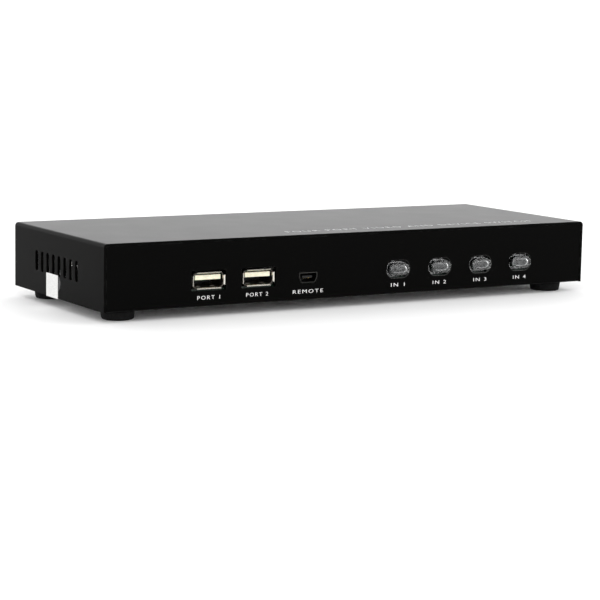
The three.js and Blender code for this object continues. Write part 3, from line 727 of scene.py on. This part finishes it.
def make_screws():
    head = SCREW_HEAD_RADIUS
    flat_head = [(SCREW_RADIUS, -1.3), (2.55, -0.35), (head, -0.16), (head, -0.08), (head - 0.1, 0.0)]
    for word, side in (("left", -1), ("right", 1)):
        node = f"side_screw_{word}"
        spot = middle(node)
        place = Matrix.Translation((side * HALF_WIDTH, spot.y, spot.z))
        matrix = place @ Matrix.Rotation(side * QUARTER, 4, "Y") @ Matrix.Rotation(0.4, 4, "Z")
        make_screw(f"cover_screw_{word}", node, matrix, flat_head, 4.5, BLACK_STEEL, "black_screw")
    pan_head = [(SCREW_RADIUS, 0.05), (2.8, 0.05), (2.8, 1.0), (2.55, 1.6), (2.0, 1.95), (1.75, PAN_HEIGHT)]
    for k, corner in enumerate(CORNERS):
        node = f"board_screw_{corner}"
        low, high = cad_box(node)
        spot = (low + high) / 2
        place = Matrix.Translation((spot.x, spot.y, high.z - PAN_HEIGHT))
        matrix = place @ Matrix.Rotation(0.5 + k, 4, "Z")
        make_screw(f"pan_screw_{corner}", node, matrix, pan_head, 4.4, ZINC, "bright_screw")


def make_label():
    low, high = cad_box("side_label")
    flats = (high.z - low.z - LABEL_BEND, high.x - low.x - LABEL_BEND)
    fold = Fold((low.x, high.z), (0, -1), (1, 0), flats, LABEL_BEND, 3)

    shape = Shape()
    folded_sheet(shape, fold.outline(low.y, high.y), [], fold.folds, fold.place, LABEL_THICKNESS, LABEL_EDGE)
    shape.finish("blank_label", [PAPER], "white_label", replaces=["side_label"])


# ---------- sockets

DEVICE_INSIDE = (12.5, 5.2)
DEVICE_WALL = 0.35
DEVICE_DEPTH = 14.0
VIDEO_INSIDE = (14.2, 4.7)
VIDEO_DEPTH = 11.0
VIDEO_CUT = (2.4, 1.9)
HOST_OUTSIDE = (12.0, 11.0)
HOST_DEPTH = 16.0
REMOTE_OUTSIDE = (8.4, 4.2)
REMOTE_WALL = 0.35
REMOTE_TAPER = 1.05
REMOTE_DEPTH = 8.0
JACK_NOSE = 4.1
JACK_BORE = 3.2
JACK_BORE_DEPTH = 9.5
JACK_SHOULDER = 1.85
BUTTON_FACE = (10.4, 6.2)
BUTTON_ROUND = 3.1
BUTTON_BACK = 6.2


def remote_outline(width, height):
    x, y, t = width / 2, height / 2, REMOTE_TAPER
    return softened([(t - x, -y), (x - t, -y), (x, 0), (x, y), (-x, y), (-x, 0)], 0.35)


PANEL_OUTLINES = {
    "device": rounded(14.5, 7.2, 0.3, 3),
    "video": inset(cut_corners(*VIDEO_INSIDE, *VIDEO_CUT), -0.85),
    "host": rounded(*HOST_OUTSIDE, 0.3, 3),
    "remote": remote_outline(*REMOTE_OUTSIDE),
    "button": rounded(*BUTTON_FACE, BUTTON_ROUND, 8),
    "jack": circle(JACK_NOSE, 40),
}
PANEL_GAPS = {"device": 0.35, "video": 0.3, "host": 0.3, "remote": 0.25, "button": 0.5, "jack": 0.25}


def mouth_of(node):
    """The middle of a piece's outer end, and whether that end faces the rear."""
    low, high = cad_box(node)
    rear = low.y > CASE_CENTRE_Y
    return Vector(((low.x + high.x) / 2, high.y if rear else low.y, (low.z + high.z) / 2)), rear


def socket_shapes(name):
    """Two empty shapes in a socket's own frame, for its metal and its insulator."""
    spot, rear = mouth_of(f"{name}_shell")
    return Shape(spot, rear), Shape(spot, rear)


def at_depth(outline, depth):
    return [(x, depth, z) for x, z in outline]


def inset_steps(outline, steps):
    """Rings for a tube: an outline moved inwards, at a depth, for each (inward, depth)."""
    return [at_depth(inset(outline, inward), depth) for inward, depth in steps]


def flat_from(start):
    """Places a flat sheet across a socket, with its outer face at a depth of start."""
    return lambda u, v, depth: (u, start + depth, v)


LIP = [(1.25, 0.0), (0.85, 0.03), (0.5, 0.15), (0.22, 0.34), (0.05, 0.62)]
LIP_THICKNESS = 0.26
LIP_SPREAD = 0.5


def add_lip(shape, half_length, base, place):
    """A lip of a socket's mouth, bent outwards from a wall at base, set by place(along, depth, out)."""
    outer = []
    for i, point in enumerate(LIP):
        run = (Vector(LIP[min(i + 1, len(LIP) - 1)]) - Vector(LIP[max(i - 1, 0)])).normalized()
        outer.append(tuple(Vector(point) + Vector((run.y, -run.x)) * LIP_THICKNESS))
    section = LIP + outer[::-1]
    shape.tube([
        [place(side * (half_length + LIP_SPREAD * out), depth, base + out) for depth, out in section]
        for side in (-1, 1)
    ])


LEAF = [(0.0, 0.0), (0.25, 0.45), (0.6, 1.0), (0.85, 0.6), (1.0, 0.7)]   # shares of its length and lift
LEAF_THICKNESS = 0.18


def leaf(shape, x, width, wall, direction, start, length, lift, look=0):
    """A spring leaf that starts at a depth on a wall, and stands off it in a direction of up or down."""
    path = [(start + along * length, wall + direction * off * lift) for along, off in LEAF]
    shape.ribbon(path, direction * LEAF_THICKNESS, (x - width / 2, x + width / 2), look)


def contacts(shape, places, width, thickness, path, look=1):
    """A row of contact strips that follow a path of (depth, height), centred on values of x."""
    for x in places:
        shape.ribbon(path, thickness, (x - width / 2, x + width / 2), look)


def make_device_socket(name):
    shell, tongue = socket_shapes(name)
    width, height = DEVICE_INSIDE
    inner = rounded(width, height, 0.9, 5)
    outer = inset(inner, -DEVICE_WALL)
    rings = inset_steps(outer, [(0.0, DEVICE_DEPTH), (0.0, 1.15), (0.08, 1.05)])
    rings += inset_steps(inner, [(-0.08, 1.05), (0.0, 1.15), (0.0, DEVICE_DEPTH)])
    # The tube and its spring leaves take the darker nickel copy: painted shade inside the socket. The lips
    # keep the plain nickel.
    shell.tube(rings, closed=True, look=1)
    for side in (-1, 1):
        add_lip(shell, 0.4 * width, height / 2, lambda along, depth, out: (along, depth, side * out))
        add_lip(shell, 0.32 * height, width / 2, lambda along, depth, out: (side * out, depth, along))
        for x in (-3.1, 3.1):
            leaf(shell, x, 1.9, side * height / 2, -side, 3.6, 6.0, 0.6, look=1)
    shell.finish(f"{name}_metal", [NICKEL, DEEP_SHADE_NICKEL], "nickel", replaces=[f"{name}_shell"])

    tongue.block((-5.6, 1.4, 0.2), (5.6, 10.4, 2.1), 0.18)
    # A black block at the back of the ivory insulator: painted shade deep in the socket. The real insulator
    # is ivory all through.
    tongue.block((-6.2, 10.2, -2.55), (6.2, DEVICE_DEPTH, 2.55), 0.1, look=2)
    path = [(2.3, 0.2), (2.9, 0.0), (4.2, -0.12), (6.0, 0.02), (10.0, 0.08)]
    contacts(tongue, (-3.5, -1.0, 1.0, 3.5), 1.0, 0.12, path)
    tongue.finish(f"{name}_insulator", [IVORY, GOLD, BLACK], "ivory_plastic", replaces=[f"{name}_tongue"])


def make_video_socket(name):
    shell, tongue = socket_shapes(name)
    width, height = VIDEO_INSIDE
    inner = cut_corners(width, height, *VIDEO_CUT, 0.7, 5)
    steps = [
        (-0.35, VIDEO_DEPTH), (-0.35, 1.0), (-0.42, 0.62), (-0.56, 0.3), (-0.76, 0.1), (-0.84, 0.06),
        (-0.84, 0.0), (-0.60, 0.0), (-0.36, 0.12), (-0.14, 0.42), (-0.02, 0.8), (0.0, 1.1),
        (0.0, VIDEO_DEPTH),
    ]
    shell.tube(inset_steps(inner, steps), closed=True)
    for x in (-2.9, 2.9):
        leaf(shell, x, 2.0, -height / 2, 1, 1.9, 5.0, 0.65)
        leaf(shell, x, 2.0, height / 2, -1, 1.9, 5.0, 0.55)
    for x in (-6.95, 6.95):
        shell.block((x - 0.15, 2.0, -0.9), (x + 0.15, 5.5, 0.9), 0.1)
    # The whole video shell takes the darker nickel copy: painted shade in the panel opening.
    shell.finish(f"{name}_metal", [VIDEO_AND_PIN_SHADE_NICKEL], "nickel", replaces=[f"{name}_shell"])

    tongue.block((-6.3, 1.0, 0.05), (6.3, 8.2, 0.95), 0.14)
    tongue.tube(inset_steps(inner, [(0.05, 8.0), (0.05, VIDEO_DEPTH)]))
    contacts(tongue, spaced(10, 1.0), 0.44, 0.06, [(1.35, 0.93), (8.0, 0.93)])
    contacts(tongue, spaced(9, 1.0), 0.44, 0.06, [(1.35, 0.01), (8.0, 0.01)])
    tongue.finish(f"{name}_insulator", [BLACK, GOLD], "black_plastic", replaces=[f"{name}_tongue"])


def host_opening(width, height, chamfer):
    """Upper corners cut off at 45 degrees."""
    x, y, c = width / 2, height / 2, chamfer
    return softened([(-x, -y), (x, -y), (x, y - c), (x - c, y), (c - x, y), (-x, y - c)], 0.3)


def make_host_socket(name):
    shell, core = socket_shapes(name)
    face = rounded(*HOST_OUTSIDE, 0.45, 4)
    folded_sheet(shell, face, [hole(host_opening(9.7, 9.1, 2.2))], UNBENT, flat_from(0.0), 0.35, 0.12)
    steps = [(0.01, 0.38), (0.01, HOST_DEPTH), (0.34, HOST_DEPTH), (0.34, 0.38)]
    shell.tube(inset_steps(face, steps), closed=True)
    for x in (-5.9, 5.9):
        shell.block((x - 0.1, 3.0, -1.5), (x + 0.1, 8.0, 1.5), 0.08)
    shell.finish(f"{name}_metal", [NICKEL], "nickel", replaces=[f"{name}_shell"])

    body = rounded(11.2, 10.2, 0.3, 3)
    opening = hole(host_opening(8.5, 7.8, 1.75))
    # The opening's walls and the back block take the grey plastic: painted shade in the deep cavity.
    folded_sheet(core, body, [opening], UNBENT, flat_from(0.42), 9.0, 0.16, [opening])
    core.block((-5.6, 9.45, -5.1), (5.6, HOST_DEPTH, 5.1), 0.1, look=1)
    core.block((-2.85, 0.8, -1.7), (2.85, 9.6, 1.7), 0.3)
    for x in (-1.25, 1.25):
        for up in (-1, 1):
            contacts(core, [x], 1.0, 0.1 * up, [(1.6, up * 1.7), (3.0, up * 1.85), (9.4, up * 1.75)], look=2)
    core.finish(f"{name}_insulator", [WHITE, SHADE_GREY, GOLD], "ivory_plastic", replaces=[f"{name}_core"])


def make_remote_socket():
    shell, tongue = socket_shapes("remote_socket")
    outer = remote_outline(*REMOTE_OUTSIDE)
    steps = [(0.0, REMOTE_DEPTH), (0.0, 0.15), (0.05, 0.04), (0.12, 0.0), (REMOTE_WALL - 0.08, 0.0),
             (REMOTE_WALL, 0.1), (REMOTE_WALL, REMOTE_DEPTH)]
    shell.tube(inset_steps(outer, steps), closed=True)
    # The shell takes the darker nickel copy: painted shade.
    shell.finish("remote_socket_metal", [REMOTE_SHADE_NICKEL], "nickel", replaces=["remote_socket_shell"])

    tongue.block((-2.3, 0.9, -0.25), (2.3, 6.4, 0.65), 0.12)
    tongue.tube(inset_steps(outer, [(REMOTE_WALL + 0.05, 6.2), (REMOTE_WALL + 0.05, REMOTE_DEPTH)]))
    contacts(tongue, spaced(5, 0.8), 0.4, 0.07, [(1.2, -0.3), (6.0, -0.3)])
    tongue.finish("remote_socket_insulator", [BLACK, GOLD], "black_plastic",
                  replaces=["remote_socket_tongue"])


def make_power_jack():
    low, high = cad_box("power_jack_body")
    pin = middle("power_jack_pin")
    spot = Vector((pin.x, high.y, pin.z))
    body = Shape(spot, True)
    body.lathe([
        (JACK_NOSE, 11.0), (JACK_NOSE, 0.25), (JACK_NOSE - 0.07, 0.08), (JACK_NOSE - 0.25, 0.0),
        (JACK_BORE + 0.3, 0.0), (JACK_BORE + 0.08, 0.08), (JACK_BORE, 0.3), (JACK_BORE, JACK_BORE_DEPTH),
        (0.3, JACK_BORE_DEPTH),
    ], 40, "y")
    block = rounded(high.x - low.x, high.z - low.z, 0.4, 3, 0.0, (low.z + high.z) / 2 - pin.z)
    nose_hole = hole(circle(JACK_NOSE - 0.3, 40))
    folded_sheet(body, block, [nose_hole], UNBENT, flat_from(JACK_SHOULDER), 11.0, 0.2)
    body.finish("power_socket", [BLACK], "black_plastic", replaces=["power_jack_body"])

    post = Shape(spot, True)
    post.lathe([(1.0, 11.3), (1.0, 1.75), (0.94, 1.5), (0.75, 1.34), (0.3, 1.3)], 24, "y")
    spring = [(2.2, 0.02 - JACK_BORE), (4.5, 0.5 - JACK_BORE), (9.0, 0.15 - JACK_BORE)]
    post.ribbon(spring, 0.2, (-1.0, 1.0))
    # The pin takes the darker nickel copy: painted shade down the bore.
    post.finish("power_socket_pin", [VIDEO_AND_PIN_SHADE_NICKEL], "contact_metal", replaces=["power_jack_pin"])


# ---------- buttons


def make_button(index):
    """A clear cap with a narrower nose in front of its flange, and a dark lens on a dark block behind it."""
    node = f"button_cap_{index}"
    low, high = cad_box(node)
    spot, rear = mouth_of(node)
    body = f"button_{index}"
    outline = rounded(*BUTTON_FACE, BUTTON_ROUND, 10)
    hollow = [(2.2, 1.3), (1.75, 1.42), (1.5, 1.75), (1.4, 2.3), (1.4, BUTTON_BACK)]
    flange = [(0.0, BUTTON_BACK), (0.0, 3.1), (0.1, 3.0)]
    nose = [(0.6, 2.95), (0.6, 0.45), (0.68, 0.22), (0.84, 0.07), (1.05, 0.0)]
    cap = Shape(spot, rear)
    cap.tube(inset_steps(outline, hollow + flange + nose))
    cap.finish(f"button_lens_{index}", [CLEAR], "clear_plastic", body, [node], smooth=50)

    light = Shape(spot, rear)
    steps = [(0.9, 2.5), (0.4, 2.6), (0.15, 2.9), (0.0, 3.4), (0.0, 5.9), (0.2, 6.1)]
    light.tube(inset_steps(inset(outline, 1.5), steps))
    dome = [(1.5, 3.0), (1.5, 2.2), (1.38, 1.95), (1.1, 1.75), (0.6, 1.62), (0.15, 1.6)]
    light.lathe(dome, 28, "y", look=1)
    for x in (-2.6, 2.6):
        light.block((x - 0.5, 2.1, -0.9), (x + 0.5, 2.7, 0.9), 0.12)
    light.block((-1.5, 6.0, -1.5), (1.5, high.y - low.y - 0.05, 1.5), 0.15)
    light.finish(f"button_light_{index}", [DIFFUSER, SMOKED], "clear_plastic", body)


def cad_look(node, material):
    """Gives a CAD node's own mesh a node material."""
    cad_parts[node].material_slots[0].material = material


def make_switches():
    for i in range(1, 5):
        node = f"button_switch_{i}"
        low, high = cad_box(node)
        mid = (low + high) / 2
        shape = Shape()
        shape.block((low.x, low.y + 0.6, low.z), (high.x, high.y, high.z), 0.3)
        shape.block((low.x + 1.2, low.y, mid.z - 2.2), (high.x - 1.2, low.y + 0.7, mid.z + 2.2), 0.2)
        for x in (low.x + 0.1, high.x - 0.1):
            shape.block((x - 0.2, mid.y - 1.5, low.z + 1), (x + 0.05, mid.y + 1.5, high.z - 1), 0.1, look=1)
        shape.finish(f"switch_housing_{i}", [BLACK, ZINC], "black_plastic", replaces=[node])


# ---------- circuit board

CHIP_PINS = {"video_switch_chip": 16, "device_hub_chip": 12, "control_chip": 8}   # on each side
PIN_WIDTH = 0.24
PIN_LENGTH = 0.9
PIN_THICKNESS = 0.3
PIN_CORNER = 1.4         # from the end of a side to the middle of its first pin


def make_chip(name, pins):
    low, high = cad_box(name)
    mid, half = (low + high) / 2, (high - low) / 2
    shape = Shape()
    shape.block((low.x + 0.8, low.y + 0.8, low.z + 0.1), (high.x - 0.8, high.y - 0.8, high.z), 0.12)
    for k in range(pins):
        share = 2 * k / (pins - 1) - 1
        x, y = mid.x + (half.x - PIN_CORNER) * share, mid.y + (half.y - PIN_CORNER) * share
        for side in (-1, 1):
            out_y = mid.y + side * (half.y - PIN_LENGTH / 2)
            out_x = mid.x + side * (half.x - PIN_LENGTH / 2)
            for cx, cy, wide, deep in ((x, out_y, PIN_WIDTH, PIN_LENGTH), (out_x, y, PIN_LENGTH, PIN_WIDTH)):
                start = (cx - wide / 2, cy - deep / 2, low.z)
                shape.block(start, (cx + wide / 2, cy + deep / 2, low.z + PIN_THICKNESS), 0.05, look=1)
    shape.finish(f"{name}_package", [EPOXY, ZINC], "chip", replaces=[name])


def make_capacitor(name):
    low, high = cad_box(name)
    radius = (high.x - low.x) / 2
    top = high.z - low.z
    shape = Shape(((low.x + high.x) / 2, (low.y + high.y) / 2, low.z))
    shape.lathe([
        (radius - 0.2, 0.0), (radius, 0.2), (radius, 1.0), (radius - 0.25, 1.3), (radius - 0.25, 1.5),
        (radius, 1.8), (radius, top - 0.4), (radius - 0.15, top - 0.1), (radius - 0.5, top), (0.3, top),
    ])
    shape.finish(f"{name}_can", [CAN], "capacitor_can", replaces=[name])


def make_board_parts():
    cad_look("main_board", GREEN)
    for name, pins in CHIP_PINS.items():
        make_chip(name, pins)
    for name in ("capacitor_1", "capacitor_2"):
        make_capacitor(name)
    cad_look("crystal", ZINC)
    cad_look("power_coil", EPOXY)


# ---------- screen printing

LETTER_SPACING = 1.3
THIN_STROKES = -0.012
BOLD_STROKES = 0.05


class Print:
    """Ink on one face of the case. Places are across and up on that face, as seen from outside."""

    def __init__(self, name, across, up, out, start, material, strokes=THIN_STROKES):
        self.name, self.material, self.strokes = name, material, strokes
        self.across, self.up, self.out, self.start = Vector(across), Vector(up), Vector(out), Vector(start)
        self.shape = Shape()

    def spot(self, u, v, rise):
        return tuple(self.start + self.across * u + self.up * v + self.out * rise)

    def film(self, outline, holes=(), low=0.0, thick=PRINT):
        def place(u, v, depth):
            return self.spot(u, v, low + thick - depth)

        folded_sheet(self.shape, outline, [hole(h) for h in holes], UNBENT, place, thick, 0.003)

    def words(self, text, box, low=0.0, thick=PRINT):
        """Lettering that fills a box of (left, bottom, right, top)."""
        left, bottom, right, top = box
        curve = bpy.data.curves.new("lettering", "FONT")
        curve.body = text
        curve.resolution_u = 3
        curve.extrude = 0.5
        curve.space_character = LETTER_SPACING
        curve.offset = self.strokes
        pattern = bpy.data.objects.new("lettering", curve)
        mesh = bpy.data.meshes.new_from_object(pattern)
        xs = [v.co.x for v in mesh.vertices]
        ys = [v.co.y for v in mesh.vertices]
        wide = (right - left) / (max(xs) - min(xs))
        tall = (top - bottom) / (max(ys) - min(ys))
        points = []
        for x, y, z in (v.co for v in mesh.vertices):
            u, v = left + (x - min(xs)) * wide, bottom + (y - min(ys)) * tall
            points.append(self.spot(u, v, low + (z + 0.5) * thick))
        added = self.shape.add(points)
        for polygon in mesh.polygons:
            self.shape.face(tuple(added[i] for i in polygon.vertices))
        bpy.data.objects.remove(pattern)
        bpy.data.curves.remove(curve)
        bpy.data.meshes.remove(mesh)

    def done(self):
        self.shape.finish(self.name, [self.material], "white_label")


def rectangle(left, bottom, right, top, radius=0.05):
    return rounded(right - left, top - bottom, radius, 3, (left + right) / 2, (bottom + top) / 2)


def front_print():
    start = (-HALF_WIDTH, FRONT_FACE, TRAY_LOW.z)
    face = Print("front_print", (1, 0, 0), (0, 0, 1), (0, -1, 0), start, WHITE_INK)
    face.words("PORT 1", (39.5, 2.75, 49.3, 4.2))
    face.words("PORT 2", (60.9, 2.75, 70.7, 4.2))
    face.words("REMOTE", (82.0, 2.7, 95.9, 4.1))
    for i, name in enumerate(BUTTONS):
        x = middle(name).x + HALF_WIDTH
        face.words(f"IN {i + 1}", (x - 3.3, 3.0, x + 3.3, 4.4))
    face.done()


# Across and up on the rear face.
REAR_PRINT_TOP = 20.5
TAG_PITCH = 38.15
TAG_WIDTH = 9.1
TAGS = [(f"IN {i}", 77.4 + TAG_PITCH * (4 - i)) for i in range(1, 5)]   # words, and left edge
CELL_EDGES = [71.1, 110.2, 148.2, 186.3, 224.4]
CELL_BOTTOM = 4.1
CELL_LINE = 0.42
KEY_WIDTH = 0.6
KEY_PITCH = 0.9


def rear_face(name, material, strokes=THIN_STROKES):
    start = (HALF_WIDTH, REAR_FACE, TRAY_LOW.z)
    return Print(name, (-1, 0, 0), (0, 0, 1), (0, 1, 0), start, material, strokes)


def on_rear(kind, name, margin):
    """The outline of a rear socket's print clearance, in the rear print's own places."""
    spot = middle(f"{name}_shell")
    u, v = HALF_WIDTH - spot.x, spot.z - TRAY_LOW.z
    return [(u - x, v + z) for x, z in panel_outline(kind, margin)][::-1]


def rear_print():
    lettering = rear_face("rear_lettering", WHITE_INK)
    lettering.words("POWER", (3.3, 18.7, 12.8, REAR_PRINT_TOP))
    lettering.done()
    white = rear_face("rear_white_print", PALE_INK)
    holes = [on_rear("device", "rear_device_1", 0.6), on_rear("device", "rear_device_2", 0.6)]
    white.film(rectangle(13.8, 4.4, 70.2, REAR_PRINT_TOP), holes + [on_rear("video", "video_out", 0.5)])
    for _, left in TAGS:
        white.film(rectangle(left, 16.9, left + TAG_WIDTH, 20.4))
    white.done()

    frames = rear_face("rear_grey_print", GREY_INK)
    openings = []
    for a, b in zip(CELL_EDGES, CELL_EDGES[1:]):
        left = a + CELL_LINE * (1.0 if a == CELL_EDGES[0] else 0.5)
        right = b - CELL_LINE * (1.0 if b == CELL_EDGES[-1] else 0.5)
        openings.append(rectangle(left, CELL_BOTTOM + CELL_LINE, right, REAR_PRINT_TOP - CELL_LINE))
    frames.film(rectangle(CELL_EDGES[0], CELL_BOTTOM, CELL_EDGES[-1], REAR_PRINT_TOP), openings)
    frames.done()

    black = rear_face("rear_black_print", BLACK_INK, BOLD_STROKES)
    raised = (PRINT, PROUD_OF_PRINT)
    for text, left in TAGS:
        black.words(text, (left + 1.5, 17.8, left + 7.6, 19.5), *raised)
    black.words("VIDEO OUT", (53.0, 16.9, 67.9, 18.6), *raised)
    lefts = [20.5 + KEY_PITCH * k for k in range(6)]
    keys = [rectangle(left, z, left + KEY_WIDTH, z + 0.5) for left in lefts for z in (17.6, 18.3)]
    space_bar = rectangle(21.4, 16.8, 24.8, 17.2)
    black.film(rectangle(20.0, 16.4, 26.2, 19.1, 0.3), keys + [space_bar], *raised)
    black.film(rectangle(39.4, 16.2, 41.8, 18.0, 0.4), (), *raised)
    for left in (39.5, 40.8):
        black.film(rectangle(left, 18.3, left + 0.9, 19.2, 0.2), (), *raised)
    black.done()


def top_print():
    start = (0, CASE_CENTRE_Y, COVER_HIGH.z - PRINT)
    face = Print("top_print", (1, 0, 0), (0, 1, 0), (0, 0, 1), start, GREY_INK)
    face.words("FOUR PORT VIDEO AND DEVICE SWITCH", (-28.5, -33.0, 92.0, -29.5))
    face.done()


# ---------- setting

CAMERA_PLACE = (-424.70, -696.24, 114.63)
CAMERA_FORWARD = (0.51271, 0.84663, -0.14259)
CAMERA_ROLL = 1.086
CAMERA_LENS = 117.76
FLOOR_REACH = 3.0        # in metres


def make_camera():
    forward = Vector(CAMERA_FORWARD).normalized()
    level = forward.cross(Vector((0, 0, 1))).normalized()
    upright = level.cross(forward)
    roll = math.radians(CAMERA_ROLL)
    right = level * math.cos(roll) + upright * math.sin(roll)
    up = right.cross(forward)
    camera = bpy.data.objects.new("camera", bpy.data.cameras.new("camera"))
    turn = Matrix((right, up, -forward)).transposed().to_4x4()
    camera.matrix_world = Matrix.Translation(Vector(CAMERA_PLACE) * MM) @ turn
    camera.data.lens = CAMERA_LENS
    camera.data.sensor_width = 36.0
    camera.data.dof.use_dof = False
    camera.data.clip_start = 0.01
    bpy.context.scene.collection.objects.link(camera)
    bpy.context.scene.camera = camera


def soft_light(name, place, size, power):
    """A rectangular light that faces the origin, in metres and watts."""
    lamp = bpy.data.lights.new(name, "AREA")
    lamp.shape = "RECTANGLE"
    lamp.size, lamp.size_y = size
    lamp.energy = power
    holder = bpy.data.objects.new(name, lamp)
    aim = (-Vector(place)).to_track_quat("-Z", "Y").to_matrix().to_4x4()
    holder.matrix_world = Matrix.Translation(place) @ aim
    bpy.context.scene.collection.objects.link(holder)


HORIZON_LIGHT = 3.0
OVERHEAD_LIGHT = 0.8


def make_world():
    """White all round, brighter towards the horizon, like a studio's lit backdrop."""
    world = bpy.data.worlds.new("studio")
    world.use_nodes = True
    tree = world.node_tree
    background = tree.nodes["Background"]
    background.inputs["Color"].default_value = (1.0, 1.0, 1.0, 1.0)
    direction = tree.nodes.new("ShaderNodeTexCoord").outputs["Generated"]
    parts = tree.nodes.new("ShaderNodeSeparateXYZ")
    tree.links.new(direction, parts.inputs["Vector"])
    fade = tree.nodes.new("ShaderNodeMapRange")
    fade.interpolation_type = "SMOOTHSTEP"
    limits = {"From Min": 0.15, "From Max": 0.6, "To Min": HORIZON_LIGHT, "To Max": OVERHEAD_LIGHT}
    for name, value in limits.items():
        fade.inputs[name].default_value = value
    tree.links.new(parts.outputs["Z"], fade.inputs["Value"])
    tree.links.new(fade.outputs["Result"], background.inputs["Strength"])
    bpy.context.scene.world = world
    bpy.context.scene.view_settings.view_transform = "Standard"


def make_studio():
    make_world()
    soft_light("key_light", (-0.6, -0.9, 1.1), (0.9, 0.7), 4.0)
    soft_light("fill_light", (0.9, -0.7, 0.7), (0.8, 0.8), 2.0)
    soft_light("rear_light", (0.2, 1.0, 0.9), (1.0, 0.6), 2.2)

    mesh = bpy.data.meshes.new("floor")
    corners = [(x * FLOOR_REACH, y * FLOOR_REACH, 0) for x, y in ((-1, -1), (1, -1), (1, 1), (-1, 1))]
    mesh.from_pydata(corners, [], [(0, 1, 2, 3)])
    mesh.materials.append(floor_look())
    floor = bpy.data.objects.new("floor", mesh)
    bpy.context.scene.collection.objects.link(floor)


make_cover()
make_tray()
make_feet()
make_screws()
make_label()
for socket in DEVICES:
    make_device_socket(socket)
for socket in VIDEOS:
    make_video_socket(socket)
for socket in HOSTS:
    make_host_socket(socket)
make_remote_socket()
make_power_jack()
for number in range(1, 5):
    make_button(number)
make_switches()
make_board_parts()
front_print()
rear_print()
top_print()
make_studio()
make_camera()
